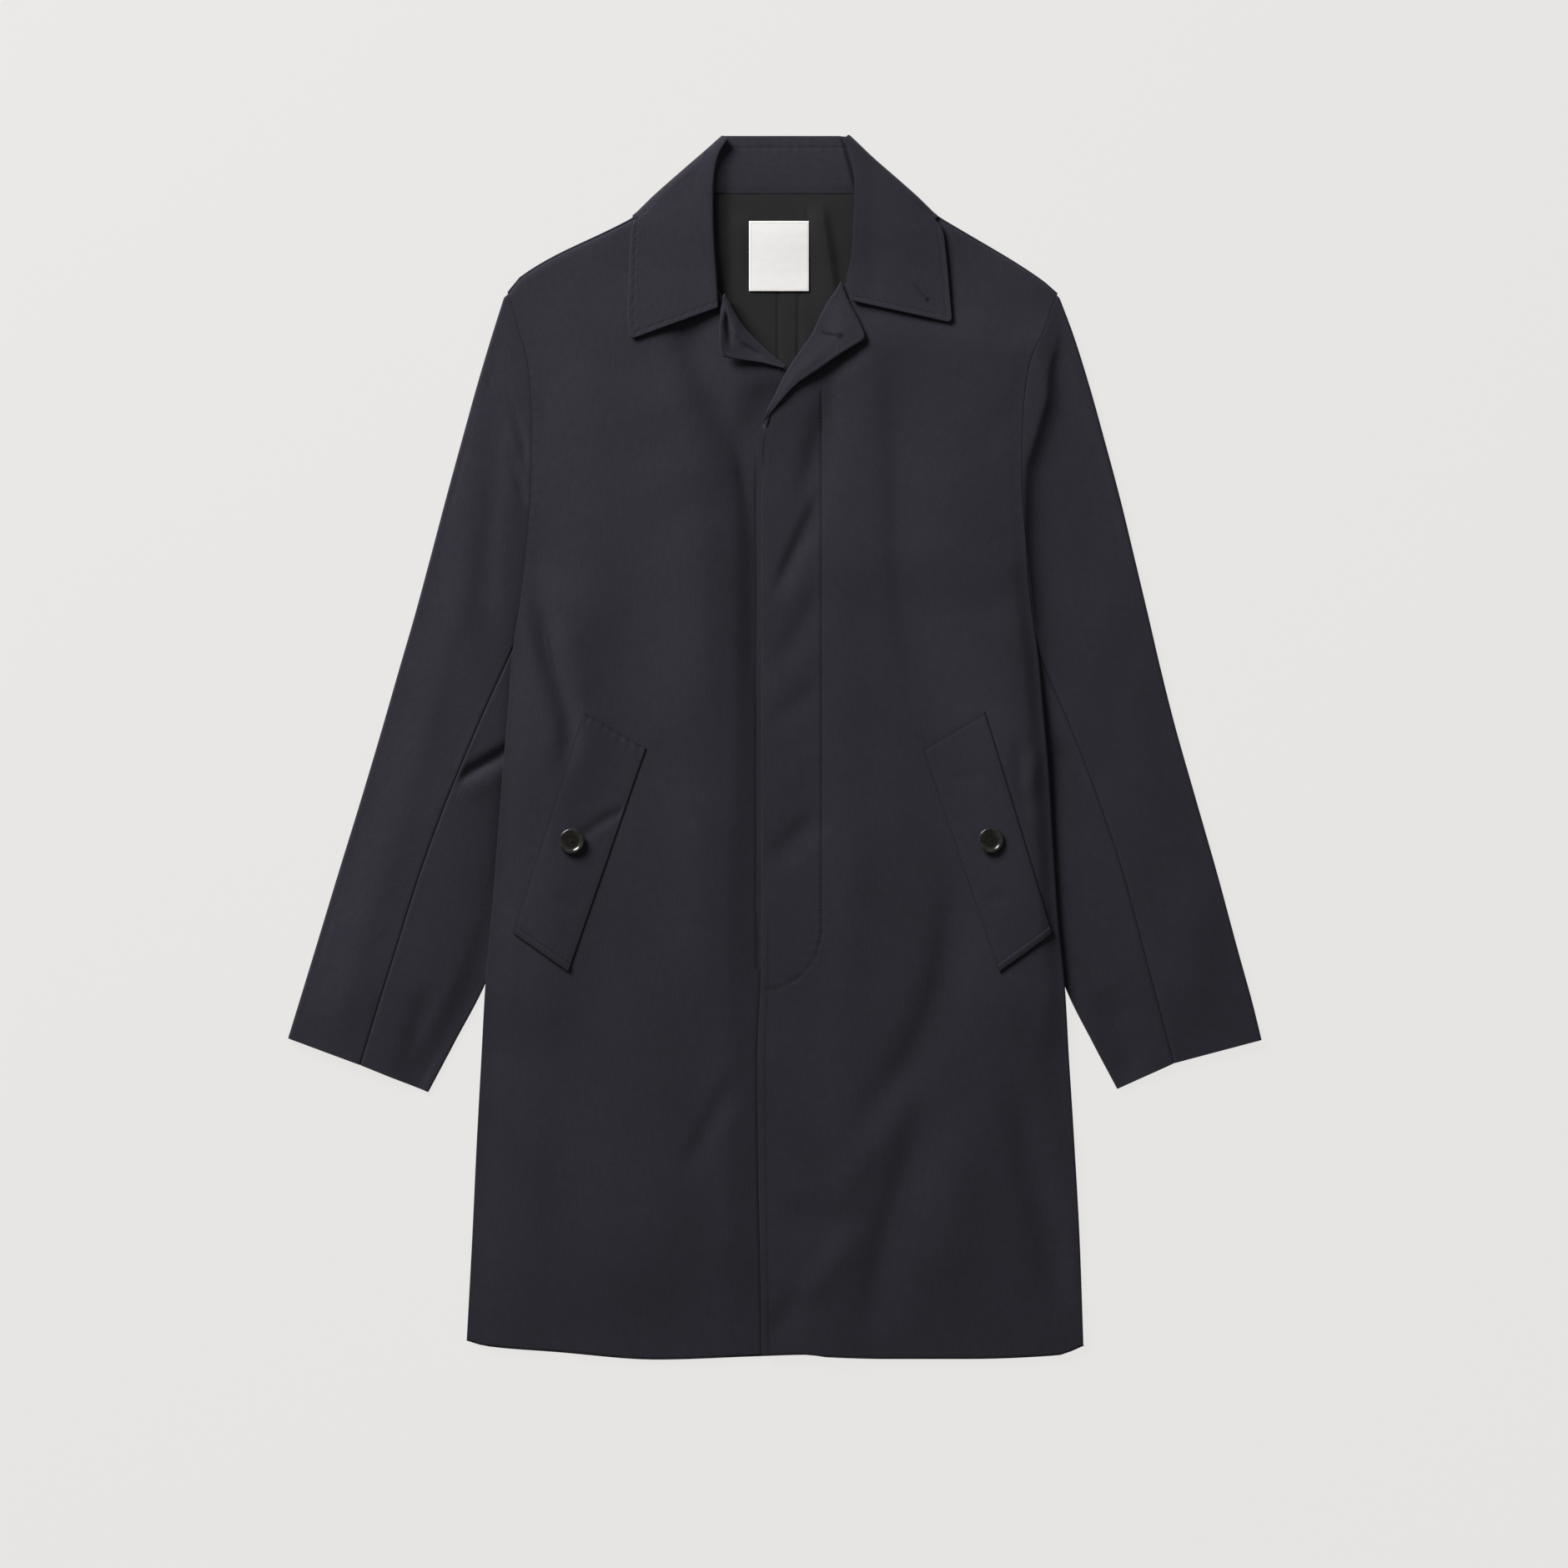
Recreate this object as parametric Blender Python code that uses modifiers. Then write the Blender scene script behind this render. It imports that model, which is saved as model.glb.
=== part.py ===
"""A mackintosh laid flat on a table, its fronts up and its collar towards +Y.

Sizes are in millimetres, measured up from the table, and the solids are written in metres.
Left and right are the wearer's, so the left front lies at +X.
"""
import math

import bpy
import numpy as np

MM = 0.001
WALL = 1.5
LINING_WALL = 1.2
GAP = 0.3
BODY_HEIGHT = 5.6
SLEEVE_HEIGHT = 5.0
TUCK_LIFT = 5.4
LEAF_RISE = 1.9
NECK_LIFT = 2.1
UNDERLAP_DROP = 1.2
OVERLAP_RISE = 2.2
CROSS_RISE = 3.6
ROLL = 2.8
SEAM_DIP = 0.25
COLLAR_ROLL = 2.4
ROLL_STEPS = [0.0, 0.03, 0.6, COLLAR_ROLL]
COLLAR_TOP = 513.5
NECK_MIDDLE = 9.0
FRONT_EDGE = -11.2
FLY_EDGE = -15.2

# Armhole seam and side edge of the body, from the shoulder tip to the hem.
EDGE_COLUMNS = ("right_x", "right_y", "left_x", "left_y")
BODY_EDGE = [
    (-223.6, 381.0, 236.6, 380.0),
    (-215.5, 352.0, 226.0, 350.0),
    (-206.8, 318.0, 213.0, 318.0),
    (-204.2, 275.0, 208.2, 276.0),
    (-204.4, 228.0, 207.2, 227.0),
    (-208.0, 173.0, 210.6, 172.0),
    (-213.5, 122.0, 215.4, 121.0),
    (-219.6, 84.0, 221.0, 79.0),
    (-224.0, 28.0, 225.6, 28.0),
    (-228.6, -28.0, 230.4, -28.0),
    (-233.0, -84.0, 233.8, -84.0),
    (-237.2, -140.0, 237.4, -140.0),
    (-242.6, -196.0, 243.0, -196.0),
    (-246.8, -266.0, 247.4, -266.0),
    (-250.6, -336.0, 251.8, -336.0),
    (-254.4, -416.0, 256.2, -416.0),
    (-258.8, -497.5, 259.2, -502.0),
]
ARMHOLE_ROWS = 7

# Where the fronts stop at the neck and the front edge, by row of BODY_EDGE.
INNER_COLUMNS = ("row", "x", "y")
RIGHT_INNER = [
    (0.0, -61.0, 476.0),
    (1.0, -63.5, 442.0),
    (2.0, -60.0, 408.0),
    (3.0, -44.6, 379.0),
    (3.6, -32.4, 356.0),
    (4.2, -13.6, 334.0),
    (4.8, 7.0, 316.0),
    (5.6, 26.0, 280.0),
    (6.6, 32.0, 214.0),
    (8.0, 32.0, 110.0),
    (10.0, 32.0, -60.0),
    (12.0, 32.0, -190.0),
    (16.0, 32.0, -509.5),
]
LEFT_INNER = [
    (0.0, 80.0, 477.0),
    (1.0, 79.5, 442.0),
    (2.0, 75.0, 408.0),
    (2.6, 59.4, 388.6),
    (3.2, 47.2, 369.6),
    (3.8, 34.8, 343.6),
    (4.4, 19.8, 320.8),
    (5.0, 6.2, 293.4),
    (5.6, -5.6, 267.0),
    (6.2, -11.2, 232.0),
    (8.0, -11.2, 110.0),
    (10.0, -11.2, -60.0),
    (12.0, -11.6, -190.0),
    (13.0, -14.4, -262.0),
    (16.0, -10.6, -510.5),
]

# The shoulder line of both fronts and the back, and the hem.
SHOULDER_COLUMNS = ("x", "y")
SHOULDER = [
    (-223.6, 381.0),
    (-212.8, 394.0),
    (-121.8, 441.4),
    (-61.0, 476.0),
    (-50.0, 464.0),
    (68.0, 464.0),
    (80.0, 477.0),
    (141.0, 441.4),
    (223.6, 394.0),
    (236.6, 380.0),
]
HEM_COLUMNS = ("x", "y")
HEM = [
    (-258.8, -497.5),
    (-241.5, -502.3),
    (-182.7, -507.2),
    (-98.7, -513.5),
    (-14.7, -510.7),
    (27.3, -509.5),
    (44.0, -511.6),
    (94.5, -513.0),
    (161.7, -513.0),
    (237.0, -510.0),
    (259.2, -502.0),
]

# Largest folds of the fronts, each along a line, a ridge if its height is above zero.
FOLD_COLUMNS = ("x0", "y0", "x1", "y1", "half_width", "height")
FOLDS = [
    (-28.0, 225.0, -26.0, 20.0, 14.0, -1.4),
    (-70.0, 330.0, -40.0, 230.0, 18.0, -1.0),
    (-56.0, 200.0, -54.0, 40.0, 20.0, 0.9),
    (-24.0, 0.0, -26.0, -260.0, 12.0, -0.9),
    (94.0, 345.0, 98.0, 170.0, 16.0, -0.7),
    (99.0, 140.0, 118.0, 25.0, 16.0, -0.7),
    (138.0, -105.0, 122.0, -206.0, 20.0, -1.3),
    (114.0, -236.0, 56.0, -322.0, 20.0, -1.2),
    (122.0, -298.0, 90.0, -386.0, 20.0, -1.3),
    (86.0, -414.0, 76.0, -490.0, 20.0, -1.0),
    (156.0, -300.0, 140.0, -440.0, 24.0, 1.0),
    (200.0, -300.0, 230.0, -465.0, 30.0, -1.0),
    (-70.0, -330.0, -46.0, -288.0, 14.0, -1.1),
    (-36.0, -302.0, -30.0, -292.0, 12.0, 1.0),
    (-184.0, 72.0, -176.0, 24.0, 10.0, -0.8),
    (-150.0, 330.0, -120.0, 120.0, 45.0, 0.9),
    (150.0, 330.0, 160.0, 120.0, 40.0, 0.9),
]

# Sleeve sections from the armhole to the cuff: outer fold, front seam below the armhole, inner fold.
SLEEVE_COLUMNS = ("row", "outer_x", "outer_y", "seam_x", "seam_y", "inner_x", "inner_y", "thick")
RIGHT_SLEEVE = [
    (0.0, -227.6, 377.6, None, None, None, None, 5.6),
    (1.0, -237.0, 348.0, None, None, None, None, 5.6),
    (2.0, -249.0, 308.0, None, None, None, None, 5.6),
    (3.0, -262.6, 259.0, None, None, None, None, 5.6),
    (4.0, -276.0, 210.0, None, None, None, None, 5.5),
    (5.0, -290.0, 157.0, None, None, None, None, 5.4),
    (6.0, -303.0, 109.0, None, None, None, None, 5.3),
    (7.0, -315.2, 67.0, -219.6, 84.0, -189.0, 72.0, 5.2),
    (8.0, -329.0, 19.0, -248.5, 19.0, -196.0, 16.0, 5.0),
    (9.0, -348.0, -45.0, -275.1, -45.0, -205.0, -60.0, 5.0),
    (10.0, -366.8, -106.0, -297.5, -106.0, -220.0, -132.6, 5.0),
    (11.0, -385.7, -168.4, -318.0, -171.0, -242.0, -196.0, 5.2),
    (12.0, -400.4, -216.6, -334.6, -223.7, -268.4, -247.0, 5.4),
    (13.0, -409.0, -244.6, -348.0, -267.0, -291.2, -290.0, 5.6),
]
LEFT_SLEEVE = [
    (0.0, 239.4, 377.0, None, None, None, None, 5.6),
    (1.0, 251.0, 346.0, None, None, None, None, 5.6),
    (2.0, 264.2, 304.0, None, None, None, None, 5.6),
    (3.0, 277.6, 256.0, None, None, None, None, 5.6),
    (4.0, 290.4, 208.0, None, None, None, None, 5.5),
    (5.0, 303.2, 155.0, None, None, None, None, 5.4),
    (6.0, 314.6, 107.0, None, None, None, None, 5.3),
    (7.0, 324.4, 65.0, 221.0, 79.0, 192.0, 68.0, 5.2),
    (8.0, 336.0, 19.0, 247.8, 19.0, 199.0, 14.0, 5.0),
    (9.0, 354.2, -45.0, 272.3, -45.0, 208.4, -62.6, 5.0),
    (10.0, 371.7, -106.0, 292.6, -106.0, 222.6, -136.0, 5.0),
    (11.0, 388.5, -168.4, 310.1, -171.0, 244.0, -202.0, 5.2),
    (12.0, 401.8, -216.6, 324.1, -223.7, 266.8, -248.0, 5.4),
    (13.0, 409.0, -246.0, 335.3, -265.6, 287.7, -287.4, 5.6),
]
SLEEVE_CROWN = 0.8

# Collar leaf sections from its front edge to the fold over the shoulder: roll line and outer edge.
LEAF_COLUMNS = ("roll_x", "roll_y", "edge_x", "edge_y")
RIGHT_LEAF = [
    (-47.2, 367.9, -121.8, 341.3),
    (-48.6, 392.0, -123.6, 362.0),
    (-50.4, 417.0, -123.0, 390.0),
    (-51.6, 445.0, -122.2, 418.0),
    (-51.8, 466.0, -121.6, 436.0),
    (-50.0, 489.0, -121.4, 443.6),
    (-43.6, 513.5, -121.2, 447.4),
]
LEFT_LEAF = [
    (64.4, 373.5, 149.1, 355.3),
    (60.4, 391.0, 147.6, 375.0),
    (64.6, 411.0, 146.2, 395.0),
    (66.4, 440.0, 144.4, 417.0),
    (67.4, 466.0, 142.9, 436.0),
    (66.6, 489.0, 141.0, 444.2),
    (62.0, 513.5, 139.4, 447.4),
]
LEAF_HOVER = 0.9
LEAF_ROLL_RISE = 1.5
LEAF_MIDDLE_EDGE = 449.0

# Collar stand sections from the right end to the left end: top edge and neck seam.
STAND_COLUMNS = ("top_x", "top_y", "top_z", "seam_x", "seam_y", "seam_z")
STAND = [
    (-51.8, 408.0, 6.8, -56.6, 407.0, 6.2),
    (-53.0, 430.0, 7.4, -58.2, 429.0, 6.8),
    (-54.0, 464.0, 8.4, -59.0, 462.0, 7.6),
    (-52.0, 488.0, 8.0, -57.6, 472.0, 7.0),
    (-43.0, 504.0, 6.0, -54.0, 467.0, 6.0),
    (-34.0, 511.6, 4.2, -46.0, 464.8, 5.4),
    (-14.0, 513.2, 3.9, -18.0, 464.5, 5.2),
    (9.0, 513.2, 3.9, 9.0, 464.5, 5.2),
    (32.0, 513.2, 3.9, 36.0, 464.5, 5.2),
    (52.0, 511.6, 4.2, 64.0, 464.8, 5.4),
    (61.0, 504.0, 6.0, 72.0, 467.0, 6.0),
    (68.6, 488.0, 8.0, 76.0, 472.0, 7.0),
    (69.6, 464.0, 8.4, 77.4, 462.0, 7.6),
    (68.6, 430.0, 7.4, 75.8, 428.0, 6.8),
    (67.0, 413.0, 7.0, 72.8, 411.5, 6.4),
]
STAND_CROWN = 2.0

# Lapel sections down each roll line: roll line, outer edge and how far the edge stands off the front.
LAPEL_COLUMNS = ("roll_x", "roll_y", "edge_x", "edge_y", "stand_off")
LEFT_LAPEL = [
    (56.2, 392.0, 62.4, 372.6, 2.6),
    (51.0, 383.0, 69.0, 359.0, 3.4),
    (44.1, 372.8, 75.6, 342.6, 4.6),
    (37.5, 360.0, 64.0, 333.6, 4.6),
    (31.5, 346.9, 53.2, 327.0, 4.2),
    (22.4, 333.6, 38.0, 316.5, 3.6),
    (9.1, 313.3, 19.4, 302.0, 3.0),
    (1.0, 297.0, 9.0, 289.0, 2.4),
    (-9.6, 275.0, -2.4, 271.0, 2.0),
]
RIGHT_LAPEL = [
    (-41.6, 379.6, -45.2, 366.4, 2.4),
    (-36.6, 370.0, -46.0, 352.0, 2.8),
    (-30.6, 359.0, -46.2, 337.0, 3.2),
    (-25.2, 351.1, -43.2, 326.4, 3.4),
    (-15.0, 340.0, -29.0, 323.6, 3.2),
    (-4.6, 330.4, -13.0, 321.6, 2.6),
    (3.4, 323.8, -3.4, 319.8, 2.2),
]
LAPEL_ARM = 5.0

# Pocket welt corners: top outer, top inner, bottom inner, bottom outer.
WELT_COLUMNS = ("x", "y")
RIGHT_WELT = [(-160.3, 29.8), (-107.8, -1.0), (-172.9, -188.6), (-219.8, -155.7)]
LEFT_WELT = [(175.7, 29.8), (123.2, -1.0), (187.6, -188.6), (232.4, -156.2)]
WELT_WALL = 2.0
WELT_GAP = 0.5

# Lining in the neck: half widths about the neck's middle, from the neck seam down.
LINING_COLUMNS = ("y", "right_x", "left_x")
LINING = [
    (464.0, -62.0, 78.0),
    (430.0, -64.0, 80.0),
    (390.0, -58.0, 72.0),
    (350.0, -44.0, 54.0),
    (318.0, -22.0, 34.0),
    (300.0, -8.0, 22.0),
]
LINING_FOLDS = [
    (26.6, 462.0, 27.4, 444.0, 2.4, 0.5),
    (38.0, 458.0, 52.0, 404.0, 5.0, 0.7),
    (2.0, 382.0, 2.4, 330.0, 2.0, 0.5),
    (19.6, 382.0, 19.0, 334.0, 3.0, 0.5),
]
LABEL_CORNER = (-21.7, 382.6)
LABEL_SIZE = (50.4, 58.8)
LABEL_WALL = 1.0

# Button profile from the middle of the top to the middle of the back.
BUTTON_COLUMNS = ("radius", "height")
BUTTON = [
    (0.0, 2.5),
    (6.6, 2.6),
    (8.4, 3.2),
    (9.8, 3.9),
    (11.2, 3.8),
    (12.0, 3.0),
    (12.2, 2.0),
    (11.2, 0.7),
    (9.0, 0.0),
    (0.0, 0.0),
]
BUTTON_STEPS = 28
RIGHT_BUTTON = (-170.1, -78.8)
LEFT_BUTTON = (180.6, -78.1)


def ease(t):
    """Runs smoothly from 0 to 1 as t does."""
    t = np.clip(t, 0.0, 1.0)
    return t * t * (3.0 - 2.0 * t)


def through(knots, values, at):
    """Values of a smooth curve that passes through a table's rows without overshooting."""
    knots = np.asarray(knots, float)
    values = np.asarray(values, float)
    steps = np.diff(knots)
    rises = np.diff(values) / steps
    slopes = np.concatenate([rises[:1], np.zeros(len(rises) - 1), rises[-1:]])
    product = rises[:-1] * rises[1:]
    total = np.where(product > 0.0, rises[:-1] + rises[1:], 1.0)
    slopes[1:-1] = np.where(product > 0.0, 2.0 * product / total, 0.0)
    at = np.asarray(at, float)
    i = np.clip(np.searchsorted(knots, at) - 1, 0, len(steps) - 1)
    t = (at - knots[i]) / steps[i]
    start = (1.0 + 2.0 * t) * (1.0 - t) ** 2 * values[i] + t * (1.0 - t) ** 2 * steps[i] * slopes[i]
    end = t * t * (3.0 - 2.0 * t) * values[i + 1] + t * t * (t - 1.0) * steps[i] * slopes[i + 1]
    return start + end


def column(table, names, name):
    """One named column of a table."""
    return np.array([row[names.index(name)] for row in table], float)


def half_rows(last):
    """Row numbers at every half row."""
    return np.arange(0.0, last + 0.25, 0.5)


def edge_points(side, rows):
    """Points on the body's armhole and side edge, on straight runs between half rows."""
    knots = np.arange(len(BODY_EDGE))
    fine = half_rows(len(BODY_EDGE) - 1)
    x = through(knots, column(BODY_EDGE, EDGE_COLUMNS, side + "_x"), fine)
    y = through(knots, column(BODY_EDGE, EDGE_COLUMNS, side + "_y"), fine)
    return np.stack([np.interp(rows, fine, x), np.interp(rows, fine, y)], axis=-1)


def edge_x(side, y):
    """The body's side edge at a height up the coat."""
    rows = edge_points(side, half_rows(len(BODY_EDGE) - 1))
    return np.interp(y, rows[::-1, 1], rows[::-1, 0])


def inner_points(table, rows):
    """Points on a front's neck and front edge."""
    knots = column(table, INNER_COLUMNS, "row")
    x = through(knots, column(table, INNER_COLUMNS, "x"), rows)
    y = through(knots, column(table, INNER_COLUMNS, "y"), rows)
    return np.stack([x, y], axis=-1)


def fold_height(folds, x, y):
    """Sum of the folds in a table at points x, y."""
    total = np.zeros(np.shape(x))
    for x0, y0, x1, y1, half_width, height in folds:
        dx = x1 - x0
        dy = y1 - y0
        t = np.clip(((x - x0) * dx + (y - y0) * dy) / (dx * dx + dy * dy), 0.0, 1.0)
        away = np.hypot(x - x0 - t * dx, y - y0 - t * dy)
        total = total + height * np.exp(-((away / half_width) ** 2))
    return total


def tuck_lift(x, y):
    """How far the body's sides are lifted by the sleeves tucked beneath them."""
    inside = np.minimum(x - edge_x("right", y), edge_x("left", y) - x)
    along = ease((178.0 - y) / 84.0) * ease((y + 268.0) / 66.0)
    return TUCK_LIFT * along * (1.0 - ease((inside - 40.0) / 60.0))


def leaf_rise(x, y):
    """How far the back is lifted by the collar leaf folded beneath it."""
    across = 1.0 - ease((np.abs(x - NECK_MIDDLE) - 137.0) / 40.0)
    return LEAF_RISE * ease((y - 392.0) / 46.0) * across


def neck_lift(x, y):
    """How far the fronts stand up round the neck."""
    away = np.hypot(x - NECK_MIDDLE, (y - 400.0) / 1.3)
    return NECK_LIFT * (1.0 - ease((away - 80.0) / 60.0))


def roll_drop(inside, radius):
    """How far a rounded edge is below the face, by distance in from the edge."""
    inside = np.clip(inside, 0.0, radius)
    return radius - np.sqrt(np.maximum(radius**2 - (radius - inside) ** 2, 0.0))


def body_face(x, y):
    """Height of the fronts before their laps and folds."""
    return BODY_HEIGHT + tuck_lift(x, y) + leaf_rise(x, y) + neck_lift(x, y)


def right_face(x, y):
    """Height of the right front, which dips under the left one."""
    under = ease((x + 46.0) / 30.0) * (1.0 - ease((y - 290.0) / 26.0))
    shown = (1.0 - ease((x + 30.0) / 16.0)) * ease((x - edge_x("right", y)) / 24.0)
    return body_face(x, y) - UNDERLAP_DROP * under + fold_height(FOLDS, x, y) * shown


def left_face(x, y):
    """Height of the left front, which laps over the right one and the fly strip."""
    over = 1.0 - ease((x - 50.0) / 36.0)
    cross = np.exp(-(np.hypot(x - 6.0, y - 308.0) / 38.0) ** 2)
    shown = ease((x - 44.0) / 18.0) * ease((edge_x("left", y) - x) / 24.0)
    lap = OVERLAP_RISE * over + CROSS_RISE * cross
    return body_face(x, y) + lap + fold_height(FOLDS, x, y) * shown


def strip_face(x, y):
    """Height of the fly strip, which lies on the right front."""
    return right_face(x, y) + GAP + LINING_WALL


def back_face(x, y):
    """Height of the back panel's underside."""
    return tuck_lift(x, y) + leaf_rise(x, y)


def lining_face(x, y):
    """Height of the lining, which lies on the back panel."""
    return back_face(x, y) + WALL + GAP + LINING_WALL + fold_height(LINING_FOLDS, x, y)


def spread(first, last, count):
    """Evenly spaced numbers after the first."""
    return [first + (last - first) * (k + 1) / count for k in range(count)]


def pick_look(name, colour, roughness):
    """A plain material for one kind of cloth or button."""
    look = bpy.data.materials.new(name)
    look.use_nodes = True
    shader = look.node_tree.nodes["Principled BSDF"]
    shader.inputs["Base Color"].default_value = (*colour, 1.0)
    shader.inputs["Roughness"].default_value = roughness
    look.diffuse_color = (*colour, 1.0)
    return look


def place(name, mesh, look):
    """Adds a mesh to the coat as a named piece."""
    piece = bpy.data.objects.new(name, mesh)
    mesh.materials.append(look)
    coat.objects.link(piece)
    piece.parent = root
    return piece


def sheet(name, grid, out, look, wall=WALL):
    """A cloth piece lofted through rows of points, its wall grown inwards from the face."""
    rows, columns = grid.shape[:2]
    across = grid[0, 1] - grid[0, 0]
    down = grid[1, 0] - grid[0, 0]
    turned = np.dot(np.cross(down, across), out) < 0.0
    faces = []
    for i in range(rows - 1):
        for j in range(columns - 1):
            a = i * columns + j
            face = (a, a + columns, a + columns + 1, a + 1)
            faces.append(face[::-1] if turned else face)
    mesh = bpy.data.meshes.new(name)
    mesh.from_pydata((grid.reshape(-1, 3) * MM).tolist(), [], faces)
    piece = place(name, mesh, look)
    thicken = piece.modifiers.new("wall", "SOLIDIFY")
    thicken.thickness = wall * MM
    thicken.offset = -1.0
    thicken.use_rim = True
    return piece


def panel_rows():
    """Row numbers of a body panel, close together at the shoulder where it rolls over."""
    return np.concatenate([[0.0, 0.001, 0.025, 0.11], half_rows(len(BODY_EDGE) - 1)[1:]])


def shape_ends(points, rows):
    """Moves a panel's first rows onto the shoulder line and its last rows onto the hem."""
    top = points[0]
    crown = through(column(SHOULDER, SHOULDER_COLUMNS, "x"), column(SHOULDER, SHOULDER_COLUMNS, "y"), top[:, 0])
    hem = through(column(HEM, HEM_COLUMNS, "x"), column(HEM, HEM_COLUMNS, "y"), points[-1][:, 0])
    rise = crown - top[:, 1]
    drop = hem - points[-1][:, 1]
    for i, row in enumerate(rows):
        points[i, :, 1] += rise * (1.0 - ease(row / 5.0))
        points[i, :, 1] += drop * ease((row - 12.0) / 4.0)
    return points


def edge_roll(y):
    """Share of the full edge roll: low at the armhole seam, full down the side."""
    return SEAM_DIP + (1.0 - SEAM_DIP) * ease((170.0 - y) / 60.0)


def shoulder_roll(x):
    """Share of the shoulder's roll: none at the neck, full on the shoulder."""
    return ease((np.abs(x - NECK_MIDDLE) - 74.0) / 24.0)


def front_panel(name, side, table, face, look):
    """One front, from its side edge to its neck and front edge."""
    rows = panel_rows()
    outer = edge_points(side, rows)
    inner = inner_points(table, rows)
    points = []
    depth = []
    for a, b in zip(outer, inner):
        width = np.hypot(*(b - a))
        inside = np.array([0.0, 0.03, 0.7, ROLL] + spread(ROLL, width, 11))
        points.append(a + (b - a) * (inside / width)[:, None])
        depth.append(inside)
    points = shape_ends(np.array(points), rows)
    depth = np.array(depth)
    below = np.hypot(*(points - points[0]).transpose(2, 0, 1)) * 0.9
    x = points[..., 0]
    y = points[..., 1]
    side_drop = roll_drop(depth, ROLL) * edge_roll(y)
    drop = np.maximum(side_drop, roll_drop(below, ROLL) * shoulder_roll(x))
    z = face(x, y) - drop
    return sheet(name, np.stack([x, y, z], axis=-1), (0.0, 0.0, 1.0), look)


def back_panel(name, look):
    """The back, flat on the table, its edges rolled up to meet the fronts."""
    rows = panel_rows()
    lower = ROLL - GAP
    points = []
    depth = []
    for a, b in zip(edge_points("right", rows), edge_points("left", rows)):
        width = np.hypot(*(b - a))
        start = np.array([0.0, 0.03, 0.7, lower])
        inside = np.concatenate([start, spread(lower, width - lower, 13)[:-1], (width - start)[::-1]])
        points.append(a + (b - a) * (inside / width)[:, None])
        depth.append(np.minimum(inside, width - inside))
    points = shape_ends(np.array(points), rows)
    below = np.hypot(*(points - points[0]).transpose(2, 0, 1)) * 0.9
    x = points[..., 0]
    y = points[..., 1]
    side_rise = roll_drop(np.array(depth), lower) * edge_roll(y)
    rise = np.maximum(side_rise, 0.8 * roll_drop(below, lower) * shoulder_roll(x))
    z = back_face(x, y) + rise
    return sheet(name, np.stack([x, y, z], axis=-1), (0.0, 0.0, -1.0), look)


def hairpin(seam, fold, thick, seam_height, crown):
    """One section of a flattened sleeve piece: over from its seam, round the fold and back beneath."""
    width = np.hypot(*(fold - seam))
    along = (fold - seam) / width
    radius = thick / 2.0
    reach = width - radius
    over = [0.0, 0.4, 1.4] + spread(1.4, reach, 5)
    section = []
    for s in over:
        t = s / reach
        height = seam_height + (thick - seam_height) * ease(t) + crown * math.sin(math.pi * t) ** 2
        section.append((s, height - SEAM_DIP * roll_drop(s, ROLL)))
    for angle in (45.0, 0.0, -45.0):
        turn = math.radians(angle)
        section.append((reach + radius * math.cos(turn), radius + radius * math.sin(turn)))
    for s in [reach] + spread(reach, 0.0, 3):
        section.append((s, 0.0))
    return [(*(seam + along * s), z) for s, z in section]


def sleeve(side, table, top_look, under_look):
    """The upper and under pieces of one sleeve, which share the front seam."""
    knots = column(table, SLEEVE_COLUMNS, "row")
    rows = half_rows(knots[-1])
    outer = [through(knots, column(table, SLEEVE_COLUMNS, name), rows) for name in ("outer_x", "outer_y")]
    outer = np.stack(outer, axis=-1)
    thick = through(knots, column(table, SLEEVE_COLUMNS, "thick"), rows)
    low = table[ARMHOLE_ROWS:]
    below = rows[rows >= ARMHOLE_ROWS]
    names = ("seam_x", "seam_y", "inner_x", "inner_y")
    lower = [through(knots[ARMHOLE_ROWS:], column(low, SLEEVE_COLUMNS, name), below) for name in names]
    front_seam = np.stack(lower[:2], axis=-1)
    inner = np.stack(lower[2:], axis=-1)
    armhole = edge_points(side, rows[rows < ARMHOLE_ROWS])
    seam = np.concatenate([armhole, front_seam])
    aside = np.array([-GAP if side == "right" else GAP, 0.0])
    top = []
    for i, row in enumerate(rows):
        start = seam[i] + aside
        width = np.hypot(*(outer[i] - start))
        crown = SLEEVE_CROWN * ease((width - 20.0) / 50.0)
        top.append(hairpin(start, outer[i], thick[i], thick[i], crown))
    sheet("sleeve_top_" + side, np.array(top), (0.0, 0.0, 1.0), top_look)
    under = []
    for k in range(len(below)):
        height = thick[len(armhole) + k]
        under.append(hairpin(front_seam[k], inner[k], SLEEVE_HEIGHT, min(height, SLEEVE_HEIGHT + 0.4), 0.0))
    sheet("sleeve_under_" + side, np.array(under), (0.0, 0.0, 1.0), under_look)


def leaf_height(face, x, y, inside):
    """Height of the collar leaf over a front, raised and rounded at the roll line."""
    raised = LEAF_ROLL_RISE * np.exp(-((inside / 18.0) ** 2))
    return face(x, y) + GAP + WALL + LEAF_HOVER + raised - roll_drop(inside, COLLAR_ROLL)


def leaf_flap(table, face):
    """Sections of one turned-down end of the leaf, up to the fold over the shoulder."""
    knots = np.arange(len(table))
    rows = np.concatenate([np.arange(0.0, len(table) - 1.5, 0.75), [len(table) - 1.0]])
    values = [through(knots, column(table, LEAF_COLUMNS, name), rows) for name in LEAF_COLUMNS]
    sections = []
    for roll_x, roll_y, far_x, far_y in zip(*values):
        roll = np.array([roll_x, roll_y])
        far = np.array([far_x, far_y])
        width = np.hypot(*(far - roll))
        inside = np.array(ROLL_STEPS + spread(COLLAR_ROLL, width, 5))
        points = roll + (far - roll) * (inside / width)[:, None]
        z = leaf_height(face, points[:, 0], points[:, 1], inside)
        sections.append(np.column_stack([points, z, inside]))
    return sections


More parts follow.
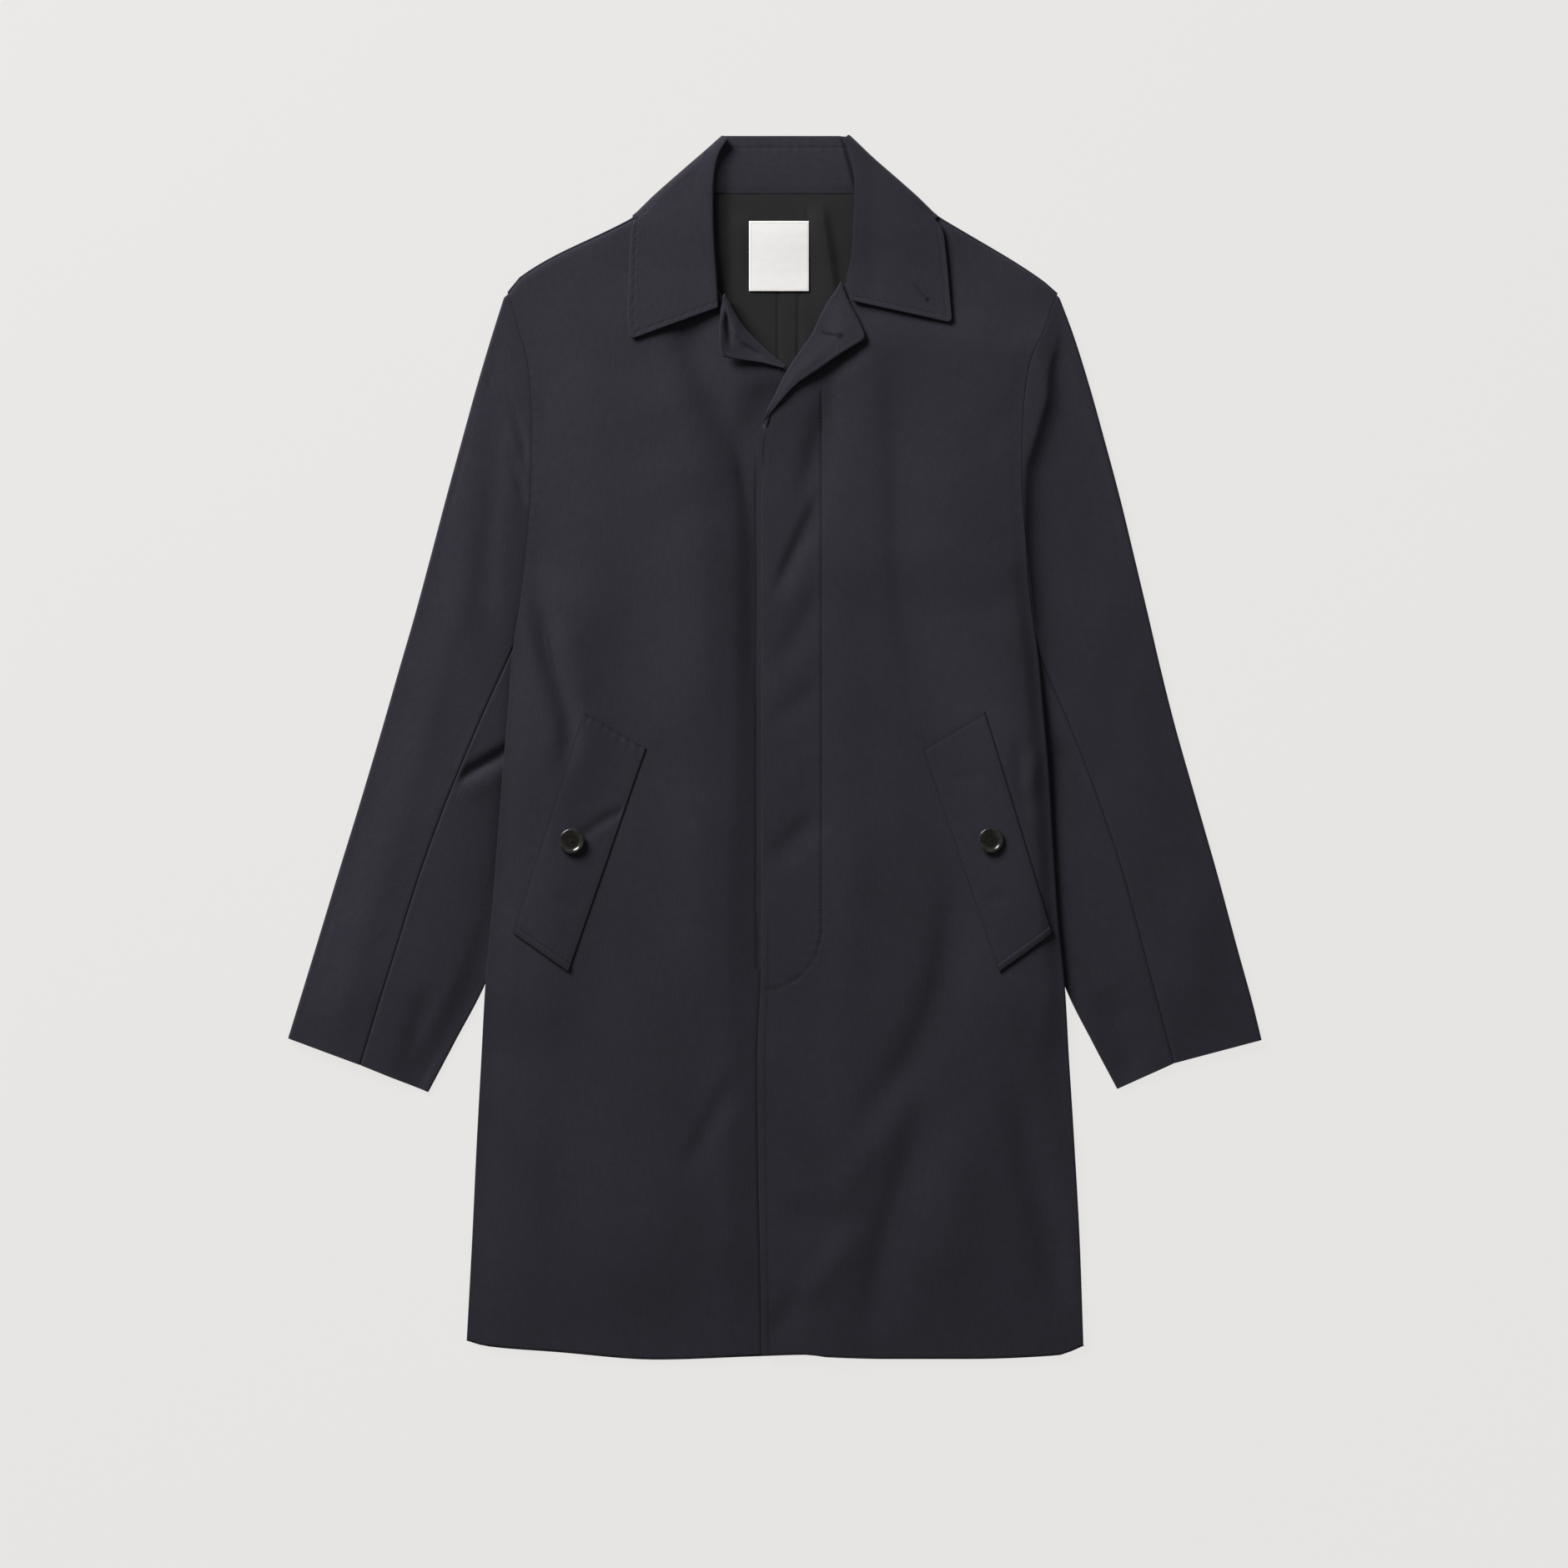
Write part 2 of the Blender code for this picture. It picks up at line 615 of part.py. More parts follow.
def leaf_fold(edge, outward):
    """Sections round the fold where the leaf turns from over the shoulder to beneath the back."""
    inside = edge[:, 3]
    low = roll_drop(inside, COLLAR_ROLL)
    middle = (edge[:, 2] + low) / 2.0
    radius = (edge[:, 2] - low) / 2.0
    sections = []
    for angle in (90.0, 60.0, 30.0, 0.0, -30.0, -60.0, -90.0):
        turn = math.radians(angle)
        reach = radius * (math.cos(turn) - 1.0)
        z = middle + radius * math.sin(turn)
        sections.append(np.column_stack([edge[:, :2] + outward * reach[:, None], z]))
    return sections


def collar_leaf(look):
    """The leaf as one band: right end, beneath the back of the neck, left end."""
    ends = []
    for table, face, sign in ((RIGHT_LEAF, right_face, -1.0), (LEFT_LEAF, left_face, 1.0)):
        flap = leaf_flap(table, face)
        edge = flap[-1]
        along = edge[-1, :2] - edge[0, :2]
        along = along / np.hypot(*along)
        outward = np.array([sign * abs(along[1]), abs(along[0])])
        ends.append([section[:, :3] for section in flap[:-1]] + leaf_fold(edge, outward))
    right, left = ends
    start = right[-1]
    stop = left[-1]
    beneath = []
    for t in spread(0.0, 1.0, 6)[:-1]:
        section = start + (stop - start) * t
        sag = 4.0 * t * (1.0 - t) * np.linspace(0.0, 1.0, len(section))
        section[:, 1] += sag * (LEAF_MIDDLE_EDGE - section[-1, 1])
        section[:4, 1] = np.minimum(section[:4, 1] + 6.0, COLLAR_TOP - np.array(ROLL_STEPS))
        beneath.append(section)
    grid = np.array(right + beneath + left[::-1])
    return sheet("collar_leaf", grid, (0.0, 0.0, 1.0), look)


def collar_stand(look):
    """The stand as one band, from its top edge under the leaf's roll to the neck seam."""
    knots = np.arange(len(STAND))
    rows = np.concatenate([np.arange(0.0, len(STAND) - 1.0, 0.75), [len(STAND) - 1.0]])
    values = [through(knots, column(STAND, STAND_COLUMNS, name), rows) for name in STAND_COLUMNS]
    grid = []
    for top_x, top_y, top_z, seam_x, seam_y, seam_z in zip(*values):
        top = np.array([top_x, top_y, top_z])
        seam = np.array([seam_x, seam_y, seam_z])
        width = np.hypot(*(seam - top)[:2])
        crown = STAND_CROWN * ease((width - 12.0) / 24.0)
        share = np.array([0.0, 0.012, 0.035, 0.08, 0.35, 0.65, 1.0])
        section = top + (seam - top) * share[:, None]
        section[:, 2] += crown * np.sqrt(np.clip(share / 0.08, 0.0, 1.0)) * (1.0 - ease((share - 0.08) / 0.92))
        grid.append(section)
    return sheet("collar_stand", np.array(grid), (0.0, 0.0, -1.0), look)


def lapel(name, table, face, look):
    """A turned-out lapel: a short arm inside the front, the roll round its edge and the turned flap."""
    knots = np.arange(len(table))
    rows = half_rows(len(table) - 1)
    values = [through(knots, column(table, LAPEL_COLUMNS, column_name), rows) for column_name in LAPEL_COLUMNS]
    grid = []
    for roll_x, roll_y, far_x, far_y, stand_off in zip(*values):
        roll = np.array([roll_x, roll_y])
        far = np.array([far_x, far_y])
        width = np.hypot(*(far - roll))
        along = (far - roll) / width
        front = float(face(roll_x + 2.4 * along[0], roll_y + 2.4 * along[1]))
        low = front - WALL - GAP - WALL - 0.2
        high = front + GAP + WALL + 0.5
        radius = (high - low) / 2.0
        section = [(radius + LAPEL_ARM, low), (radius, low)]
        for angle in (-60.0, -30.0, 0.0, 30.0, 60.0):
            turn = math.radians(angle)
            section.append((radius - radius * math.cos(turn), low + radius + radius * math.sin(turn)))
        for s in [radius] + spread(radius, width, 4):
            t = (s - radius) / (width - radius)
            x, y = roll + along * s
            over = float(face(x, y)) + WALL + GAP + 0.5 + (stand_off - 2.0) * ease(t)
            section.append((s, max(over, high * (1.0 - t))))
        grid.append([(*(roll + along * s), z) for s, z in section])
    return sheet(name, np.array(grid), (0.0, 0.0, -1.0), look)


def welt(name, corners, face, look):
    """A pocket welt, made from the front's points moved out."""
    top_outer, top_inner, low_inner, low_outer = [np.array(corner) for corner in corners]
    grid = []
    for v in np.linspace(0.0, 1.0, 10):
        start = top_outer + (low_outer - top_outer) * v
        stop = top_inner + (low_inner - top_inner) * v
        row = []
        for u in np.linspace(0.0, 1.0, 6):
            x, y = start + (stop - start) * u
            row.append((x, y, float(face(x, y)) + WELT_GAP + WELT_WALL))
        grid.append(row)
    return sheet(name, np.array(grid), (0.0, 0.0, 1.0), look, WELT_WALL)


def fly_strip(look):
    """The buttonhole strip behind the left front edge, its edge just proud of the front's."""
    grid = []
    for y in np.linspace(258.0, -194.0, 16):
        far = 38.0 - 26.0 * ease((-120.0 - y) / 74.0)
        row = []
        for x in np.concatenate([[FLY_EDGE], np.linspace(FRONT_EDGE + 1.0, far, 4)]):
            row.append((x, y, float(strip_face(x, y))))
        grid.append(row)
    return sheet("fly_strip", np.array(grid), (0.0, 0.0, 1.0), look, LINING_WALL)


def neck_lining(look):
    """The lining that shows in the neck, lying on the back."""
    y = np.linspace(464.0, 300.0, 12)
    knots = -column(LINING, LINING_COLUMNS, "y")
    right = through(knots, column(LINING, LINING_COLUMNS, "right_x"), -y)
    left = through(knots, column(LINING, LINING_COLUMNS, "left_x"), -y)
    u = np.linspace(0.0, 1.0, 13)
    x = right[:, None] + (left - right)[:, None] * u
    y = np.repeat(y[:, None], len(u), axis=1)
    return sheet("lining_back", np.stack([x, y, lining_face(x, y)], axis=-1), (0.0, 0.0, 1.0), look, LINING_WALL)


def neck_label(look):
    """The blank label on the lining."""
    x = LABEL_CORNER[0] + LABEL_SIZE[0] * np.linspace(0.0, 1.0, 5)
    y = LABEL_CORNER[1] + LABEL_SIZE[1] * np.linspace(1.0, 0.0, 5)
    x, y = np.meshgrid(x, y)
    z = lining_face(x, y) - fold_height(LINING_FOLDS, x, y) + 0.9 + LABEL_WALL
    return sheet("label", np.stack([x, y, z], axis=-1), (0.0, 0.0, 1.0), look, LABEL_WALL)


def button(name, centre, face, look):
    """A dished button turned round its middle, sitting on a welt."""
    mesh = bpy.data.meshes.new(name)
    points = [(radius * MM, 0.0, height * MM) for radius, height in BUTTON]
    mesh.from_pydata(points, [(k, k + 1) for k in range(len(points) - 1)], [])
    piece = place(name, mesh, look)
    turns = np.linspace(0.0, 2.0 * math.pi, 12, endpoint=False)
    rim = face(centre[0] + 12.2 * np.cos(turns), centre[1] + 12.2 * np.sin(turns))
    seat = float(np.max(rim)) + WELT_GAP + WELT_WALL + GAP
    piece.location = (centre[0] * MM, centre[1] * MM, seat * MM)
    turn = piece.modifiers.new("turn", "SCREW")
    turn.axis = "Z"
    turn.steps = BUTTON_STEPS
    turn.render_steps = BUTTON_STEPS
    turn.use_merge_vertices = True
    turn.merge_threshold = 0.00005
    turn.use_normal_calculate = True
    return piece


for old in list(bpy.data.objects):
    bpy.data.objects.remove(old, do_unlink=True)

coat = bpy.data.collections.new("mackintosh")
bpy.context.scene.collection.children.link(coat)
root = bpy.data.objects.new("mackintosh", None)
coat.objects.link(root)

cloth = pick_look("navy_cloth", (0.028, 0.027, 0.035), 0.85)
lining = pick_look("charcoal_lining", (0.026, 0.026, 0.025), 0.6)
tape = pick_look("label_tape", (0.83, 0.82, 0.78), 0.7)
horn = pick_look("button_resin", (0.016, 0.015, 0.011), 0.25)

back_panel("back", cloth)
front_panel("front_right", "right", RIGHT_INNER, right_face, cloth)
front_panel("front_left", "left", LEFT_INNER, left_face, cloth)
fly_strip(cloth)
sleeve("right", RIGHT_SLEEVE, cloth, cloth)
sleeve("left", LEFT_SLEEVE, cloth, cloth)
neck_lining(lining)
neck_label(tape)
collar_stand(cloth)
collar_leaf(cloth)
lapel("facing_right", RIGHT_LAPEL, right_face, cloth)
lapel("facing_left", LEFT_LAPEL, left_face, cloth)
welt("welt_right", RIGHT_WELT, right_face, cloth)
welt("welt_left", LEFT_WELT, left_face, cloth)
button("pocket_button_right", RIGHT_BUTTON, right_face, horn)
button("pocket_button_left", LEFT_BUTTON, left_face, horn)
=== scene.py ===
# %% [markdown]
# # A mackintosh laid flat
# The coat lies on a pale table with its fronts up, seen from straight above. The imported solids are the
# frame: they give the place and the size of every sewn piece. Each plain solid is then covered by a finer
# mesh of the same piece, with its folds, seams, stitches and cloth. Sizes are in millimetres, as a maker
# would write them, and are turned into metres when a mesh is made.

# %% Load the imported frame
import math

import bpy
import numpy as np
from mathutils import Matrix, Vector
from mathutils.bvhtree import BVHTree


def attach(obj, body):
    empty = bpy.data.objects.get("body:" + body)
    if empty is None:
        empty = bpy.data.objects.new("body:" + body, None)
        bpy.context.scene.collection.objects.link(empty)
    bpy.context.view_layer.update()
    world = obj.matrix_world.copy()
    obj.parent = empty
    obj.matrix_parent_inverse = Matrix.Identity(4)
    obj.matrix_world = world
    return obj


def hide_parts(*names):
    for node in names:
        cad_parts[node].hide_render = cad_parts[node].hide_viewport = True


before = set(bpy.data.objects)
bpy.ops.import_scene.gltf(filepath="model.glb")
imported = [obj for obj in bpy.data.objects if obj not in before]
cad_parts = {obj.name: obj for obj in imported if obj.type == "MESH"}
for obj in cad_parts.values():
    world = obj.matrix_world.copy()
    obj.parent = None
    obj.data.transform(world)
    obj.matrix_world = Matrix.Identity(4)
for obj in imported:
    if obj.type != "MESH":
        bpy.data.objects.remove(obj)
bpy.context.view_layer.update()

# %% [markdown]
# ## Camera and table
# The photograph looks straight down at the coat, with the collar at the top of the picture. A camera placed
# by eye would drift, so its height and lens are worked out: at 3 m, the picture is 1316 mm wide at the coat.
# The table is one large pale plane just under the cloth. It glows a little, as a light table does, so it
# stays an even tone while the coat's own shadow remains faint on it.

# %% Camera
PICTURE_WIDTH = 1.316
CAMERA_HEIGHT = 3.0
lens = bpy.data.cameras.new("camera")
lens.sensor_width = 36.0
lens.lens = 36.0 * (CAMERA_HEIGHT - 0.006) / PICTURE_WIDTH
camera = bpy.data.objects.new("camera", lens)
camera.location = (0.0077, -0.0311, CAMERA_HEIGHT)
bpy.context.scene.collection.objects.link(camera)
bpy.context.scene.camera = camera
bpy.context.scene.view_settings.view_transform = "Standard"
print("camera lens", round(lens.lens, 1), "mm")

# %% Table
table_mesh = bpy.data.meshes.new("table")
reach = 60.0
table_top = -0.0003
corners = [(-reach, -reach), (reach, -reach), (reach, reach), (-reach, reach)]
table_mesh.from_pydata([(*corner, table_top) for corner in corners], [], [(0, 1, 2, 3)])
table = bpy.data.objects.new("table", table_mesh)
bpy.context.scene.collection.objects.link(table)
table_look = bpy.data.materials.new("pale_table")
table_look.use_nodes = True
shader = table_look.node_tree.nodes["Principled BSDF"]
shader.inputs["Base Color"].default_value = (0.038, 0.037, 0.036, 1.0)
shader.inputs["Roughness"].default_value = 0.9
shader.inputs["Specular IOR Level"].default_value = 0.1
shader.inputs["Emission Color"].default_value = (1.0, 0.981, 0.962, 1.0)
shader.inputs["Emission Strength"].default_value = 0.771
table_mesh.materials.append(table_look)
print("table", 2 * reach, "m wide")

# %% [markdown]
# ## Light
# One large soft lamp stands above the picture's upper left corner, low enough to rake across the cloth, so
# that shallow folds show as light and shade. An even pale sky fills the shadows. A bare sun would draw
# hard edges, and a sky alone would hide the folds.

# %% Lamp and sky
LAMP_PLACE = Vector((-1.84, 2.24, 1.70))
lamp = bpy.data.lights.new("soft_lamp", "AREA")
lamp.shape = "DISK"
lamp.size = 1.7
lamp.energy = 166.0
lamp.color = (0.985, 0.975, 1.0)
lamp_object = bpy.data.objects.new("soft_lamp", lamp)
lamp_object.location = LAMP_PLACE
lamp_object.rotation_mode = "QUATERNION"
lamp_object.rotation_quaternion = (-LAMP_PLACE).to_track_quat("-Z", "Y")
bpy.context.scene.collection.objects.link(lamp_object)
sky = bpy.data.worlds.new("even_sky")
bpy.context.scene.world = sky
sky.use_nodes = True
sky.node_tree.nodes["Background"].inputs["Color"].default_value = (1.0, 0.99, 0.99, 1.0)
sky.node_tree.nodes["Background"].inputs["Strength"].default_value = 0.17
print("lamp", round(LAMP_PLACE.length, 2), "m away,", lamp.energy, "W")

# %% [markdown]
# ## Navy cloth
# The coat is a close cotton twill with a dry, matt face. Its yarns are about half a millimetre apart, so the
# weave is a bump and not modelled. Two crossed waves give the twill. Four noises give the uneven dye, a fine
# mottle, long thick places in the yarn and the nap. Two marks stored on the points of each mesh do the rest:
# one makes a turned edge look rubbed, and the other is painted shade, darkening the colour along seams, gaps
# and crevices where shadow falls. All of it follows the cloth's own flat coordinates, so the weave turns with
# each sleeve and flap.

# %% A blank finish
def blank_finish(name):
    """A new node material, with its nodes, its links and its main shader."""
    look = bpy.data.materials.new(name)
    look.use_nodes = True
    nodes = look.node_tree.nodes
    return look, nodes, look.node_tree.links, nodes["Principled BSDF"]


def wave(nodes, links, place, scale, direction):
    """A texture of even bands, such as rows of yarn."""
    bands = nodes.new("ShaderNodeTexWave")
    bands.bands_direction = direction
    bands.inputs["Scale"].default_value = scale
    bands.inputs["Distortion"].default_value = 0.6
    bands.inputs["Detail"].default_value = 1.0
    links.new(place, bands.inputs["Vector"])
    return bands.outputs["Fac"]


def noise(nodes, links, place, scale, detail):
    """A soft cloudy texture."""
    cloud = nodes.new("ShaderNodeTexNoise")
    cloud.inputs["Scale"].default_value = scale
    cloud.inputs["Detail"].default_value = detail
    links.new(place, cloud.inputs["Vector"])
    return cloud.outputs["Fac"]


def blend_colours(nodes, links, share, first, second):
    """Mixes two colours, each a set of numbers or another node's output, by a share."""
    mix = nodes.new("ShaderNodeMix")
    mix.data_type = "RGBA"
    links.new(share, mix.inputs["Factor"])
    for socket, colour in ((mix.inputs[6], first), (mix.inputs[7], second)):
        if isinstance(colour, tuple):
            socket.default_value = (*colour, 1.0)
        else:
            links.new(colour, socket)
    return mix.outputs[2]


def scaled(nodes, links, value, factor):
    """A texture's value times a number."""
    times = nodes.new("ShaderNodeMath")
    times.operation = "MULTIPLY"
    links.new(value, times.inputs[0])
    times.inputs[1].default_value = factor
    return times.outputs[0]


def bumped(nodes, links, shader, height, distance, strength, under=None):
    """Raises a texture as a fine relief on a shader."""
    bump = nodes.new("ShaderNodeBump")
    bump.inputs["Distance"].default_value = distance
    bump.inputs["Strength"].default_value = strength
    links.new(height, bump.inputs["Height"])
    if under is not None:
        links.new(under, bump.inputs["Normal"])
    links.new(bump.outputs["Normal"], shader.inputs["Normal"])
    return bump.outputs["Normal"]


print("finish helpers ready")

# %% Twill finish
def mark(nodes, name):
    """A number stored on the points of a mesh."""
    stored = nodes.new("ShaderNodeAttribute")
    stored.attribute_name = name
    return stored.outputs["Fac"]


def added(nodes, links, first, second):
    """The sum of two textures."""
    plus = nodes.new("ShaderNodeMath")
    plus.operation = "ADD"
    links.new(first, plus.inputs[0])
    links.new(second, plus.inputs[1])
    return plus.outputs[0]


def widened(nodes, links, value, low, high):
    """Stretches the part of a texture between two values to run from 0 to 1."""
    span = nodes.new("ShaderNodeMapRange")
    span.inputs["From Min"].default_value = low
    span.inputs["From Max"].default_value = high
    links.new(value, span.inputs["Value"])
    return span.outputs["Result"]


def twill(name, dark, light, rubbed, roughness):
    """Matt twill in two near tones of one dye, lighter where an edge is rubbed, with painted shade along
    seams and gaps.
    """
    look, nodes, links, shader = blank_finish(name)
    place = nodes.new("ShaderNodeTexCoord").outputs["UV"]
    drawn_out = nodes.new("ShaderNodeMapping")
    drawn_out.inputs["Scale"].default_value = (1.0, 0.10, 1.0)
    links.new(place, drawn_out.inputs["Vector"])
    dye = noise(nodes, links, place, 11.0, 4.0)
    mottle = noise(nodes, links, place, 130.0, 3.0)
    slub = noise(nodes, links, drawn_out.outputs["Vector"], 620.0, 3.0)
    nap = noise(nodes, links, place, 520.0, 2.0)
    tone = added(nodes, links, scaled(nodes, links, dye, 0.34), scaled(nodes, links, mottle, 0.20))
    tone = added(nodes, links, tone, scaled(nodes, links, slub, 0.26))
    tone = added(nodes, links, tone, scaled(nodes, links, nap, 0.20))
    colour = blend_colours(nodes, links, widened(nodes, links, tone, 0.36, 0.64), dark, light)
    worn_share = scaled(nodes, links, mark(nodes, "edge"), 0.20)
    colour = blend_colours(nodes, links, worn_share, colour, rubbed)
    # Painted shade: the seam mark darkens the colour towards near black along seams, gaps and crevices.
    seam_shade_share = scaled(nodes, links, mark(nodes, "seam"), 0.80)
    colour = blend_colours(nodes, links, seam_shade_share, colour, (0.0050, 0.0048, 0.0066))
    links.new(colour, shader.inputs["Base Color"])
    shader.inputs["Roughness"].default_value = roughness
    shader.inputs["Specular IOR Level"].default_value = 0.14
    shader.inputs["Sheen Weight"].default_value = 0.08
    shader.inputs["Sheen Roughness"].default_value = 0.5
    shader.inputs["Sheen Tint"].default_value = (0.75, 0.75, 0.9, 1.0)
    slanted = wave(nodes, links, place, 560.0, "DIAGONAL")
    upright = wave(nodes, links, place, 610.0, "X")
    weave = added(nodes, links, slanted, upright)
    fine = bumped(nodes, links, shader, weave, 0.00006, 0.35)
    bumped(nodes, links, shader, added(nodes, links, nap, slub), 0.00035, 0.30, fine)
    return look


# Two tones of the dye and the colour of a rubbed edge; the second set is the same navy made darker, as
# painted shade for the back panel that lies beneath the other pieces.
NAVY_TONES = (0.0204, 0.0195, 0.0253), (0.0283, 0.0267, 0.0364), (0.0310, 0.0295, 0.0392)
SHADED_TONES = (0.0185, 0.0177, 0.0238), (0.0257, 0.0242, 0.0343), (0.0270, 0.0257, 0.0350)
navy = twill("navy_twill", *NAVY_TONES, 0.84)
navy_shaded = twill("navy_twill_shaded", *SHADED_TONES, 0.85)
print("finishes:", navy.name, navy_shaded.name)

# %% [markdown]
# ## Lining, label, thread and buttons
# The lining is a smooth charcoal twill with finer yarns than the face cloth. The label is a bare off-white
# woven tape. Sewing thread is a twist of the coat's own navy, and a near-black finish is painted shadow in
# the buttonholes' slits. The pocket buttons are dark resin, clouded brown and olive inside, with a polished
# rim painted lighter grey, partly the resin's own tone and partly a painted highlight. Each is a small node
# material on the same helpers.

# %% Lining, tape, thread and resin
def lining_finish():
    """Smooth charcoal lining with fine upright yarns."""
    look, nodes, links, shader = blank_finish("charcoal_lining")
    place = nodes.new("ShaderNodeTexCoord").outputs["UV"]
    cloud = noise(nodes, links, place, 60.0, 4.0)
    colour = blend_colours(nodes, links, cloud, (0.0158, 0.0155, 0.0158), (0.0222, 0.0218, 0.0223))
    links.new(colour, shader.inputs["Base Color"])
    shader.inputs["Roughness"].default_value = 0.84
    shader.inputs["Specular IOR Level"].default_value = 0.12
    bumped(nodes, links, shader, wave(nodes, links, place, 700.0, "X"), 0.00004, 0.3)
    return look


def tape_finish():
    """Off-white woven tape."""
    look, nodes, links, shader = blank_finish("label_tape")
    place = nodes.new("ShaderNodeTexCoord").outputs["UV"]
    rows = wave(nodes, links, place, 420.0, "Y")
    cloud = noise(nodes, links, place, 150.0, 3.0)
    tone = blend_colours(nodes, links, cloud, (0.79, 0.78, 0.745), (0.875, 0.865, 0.83))
    tone = blend_colours(nodes, links, scaled(nodes, links, rows, 0.2), tone, (0.72, 0.71, 0.675))
    links.new(tone, shader.inputs["Base Color"])
    shader.inputs["Roughness"].default_value = 0.75
    bumped(nodes, links, shader, rows, 0.00008, 0.5)
    return look


def thread_finish(name, first, second):
    """Twisted sewing thread."""
    look, nodes, links, shader = blank_finish(name)
    place = nodes.new("ShaderNodeTexCoord").outputs["Object"]
    ply = noise(nodes, links, place, 900.0, 2.0)
    links.new(blend_colours(nodes, links, ply, first, second), shader.inputs["Base Color"])
    shader.inputs["Roughness"].default_value = 0.75
    shader.inputs["Specular IOR Level"].default_value = 0.12
    bumped(nodes, links, shader, ply, 0.0001, 0.4)
    return look


def resin_finish():
    """Clouded dark resin: olive in the dished middle, lighter smoky grey on the raised rim, partly the
    resin's own tone and partly a painted highlight.
    """
    look, nodes, links, shader = blank_finish("button_resin")
    place = nodes.new("ShaderNodeTexCoord").outputs["Object"]
    cloud = noise(nodes, links, place, 190.0, 5.0)
    smoke = widened(nodes, links, cloud, 0.35, 0.65)
    middle = blend_colours(nodes, links, smoke, (0.0030, 0.0028, 0.0014), (0.0105, 0.0092, 0.0032))
    # The rim tone is partly the resin's own grey and partly a painted highlight.
    rim = blend_colours(nodes, links, smoke, (0.0120, 0.0118, 0.0112), (0.0300, 0.0290, 0.0260))
    links.new(blend_colours(nodes, links, mark(nodes, "rim"), middle, rim), shader.inputs["Base Color"])
    shader.inputs["Roughness"].default_value = 0.20
    shader.inputs["Specular IOR Level"].default_value = 0.4
    shader.inputs["Coat Weight"].default_value = 0.25
    shader.inputs["Coat Roughness"].default_value = 0.10
    bumped(nodes, links, shader, cloud, 0.0001, 0.15)
    return look


charcoal = lining_finish()
tape = tape_finish()
navy_thread = thread_finish("navy_thread", (0.018, 0.017, 0.024), (0.032, 0.030, 0.040))
white_thread = thread_finish("white_thread", (0.68, 0.67, 0.63), (0.82, 0.81, 0.77))
dark_thread = thread_finish("dark_thread", (0.010, 0.0095, 0.013), (0.022, 0.021, 0.028))
# A near-black finish for the painted shadow in the buttonholes' slits and eyes.
shadow_thread = thread_finish("slit_shadow", (0.006, 0.006, 0.007), (0.010, 0.010, 0.012))
resin = resin_finish()
print("finishes:", charcoal.name, tape.name, navy_thread.name, white_thread.name, resin.name)

# %% [markdown]
# ## Curves through short tables
# Every outline on the coat is a short table of measured points. A smooth curve through them that never
# overshoots keeps the seams fair. A spline drawn by hand in the viewport would do too, but the numbers can
# be checked against the photograph.

# %% Curves
MM = 0.001


def ease(t):
    """Runs smoothly from 0 to 1 as t does."""
    t = np.clip(t, 0.0, 1.0)
    return t * t * (3.0 - 2.0 * t)


def through(knots, values, at):
    """Values of a smooth curve that passes through a table's rows without overshooting."""
    knots = np.asarray(knots, float)
    values = np.asarray(values, float)
    steps = np.diff(knots)
    rises = np.diff(values) / steps
    slopes = np.concatenate([rises[:1], np.zeros(len(rises) - 1), rises[-1:]])
    product = rises[:-1] * rises[1:]
    total = np.where(product > 0.0, rises[:-1] + rises[1:], 1.0)
    slopes[1:-1] = np.where(product > 0.0, 2.0 * product / total, 0.0)
    at = np.asarray(at, float)
    i = np.clip(np.searchsorted(knots, at) - 1, 0, len(steps) - 1)
    t = (at - knots[i]) / steps[i]
    start = (1.0 + 2.0 * t) * (1.0 - t) ** 2 * values[i] + t * (1.0 - t) ** 2 * steps[i] * slopes[i]
    end = t * t * (3.0 - 2.0 * t) * values[i + 1] + t * t * (t - 1.0) * steps[i] * slopes[i + 1]
    return start + end


def column(table, k):
    """One column of a table."""
    return np.array([row[k] for row in table], float)


def fair_path(points, count):
    """A smooth path of evenly numbered points through a few measured ones."""
    knots = np.arange(len(points))
    at = np.linspace(0.0, len(points) - 1.0, count)
    return np.stack([through(knots, column(points, 0), at), through(knots, column(points, 1), at)], axis=-1)


print("a curve through 0, 1, 3 at its middle:", float(through([0, 1, 2], [0, 1, 3], 1.0)))

# %% [markdown]
# ## The body's outline
# The armhole seam and side edge run from the shoulder tip to the hem. The fronts end at the neck and the
# front edge, where the wearer's left front, on the right of the picture, laps over the other.

# %% Outline tables
# Right x, right y, left x, left y.
BODY_EDGE = [
    (-223.6, 381.0, 236.6, 380.0), (-215.5, 352.0, 226.0, 350.0), (-206.8, 318.0, 213.0, 318.0),
    (-204.2, 275.0, 208.2, 276.0), (-204.4, 228.0, 207.2, 227.0), (-208.0, 173.0, 210.6, 172.0),
    (-213.5, 122.0, 215.4, 121.0), (-219.6, 84.0, 221.0, 79.0), (-224.0, 28.0, 225.6, 28.0),
    (-228.6, -28.0, 230.4, -28.0), (-233.0, -84.0, 233.8, -84.0), (-237.2, -140.0, 237.4, -140.0),
    (-242.6, -196.0, 243.0, -196.0), (-246.8, -266.0, 247.4, -266.0), (-250.6, -336.0, 251.8, -336.0),
    (-254.4, -416.0, 256.2, -416.0), (-258.8, -497.5, 259.2, -502.0),
]
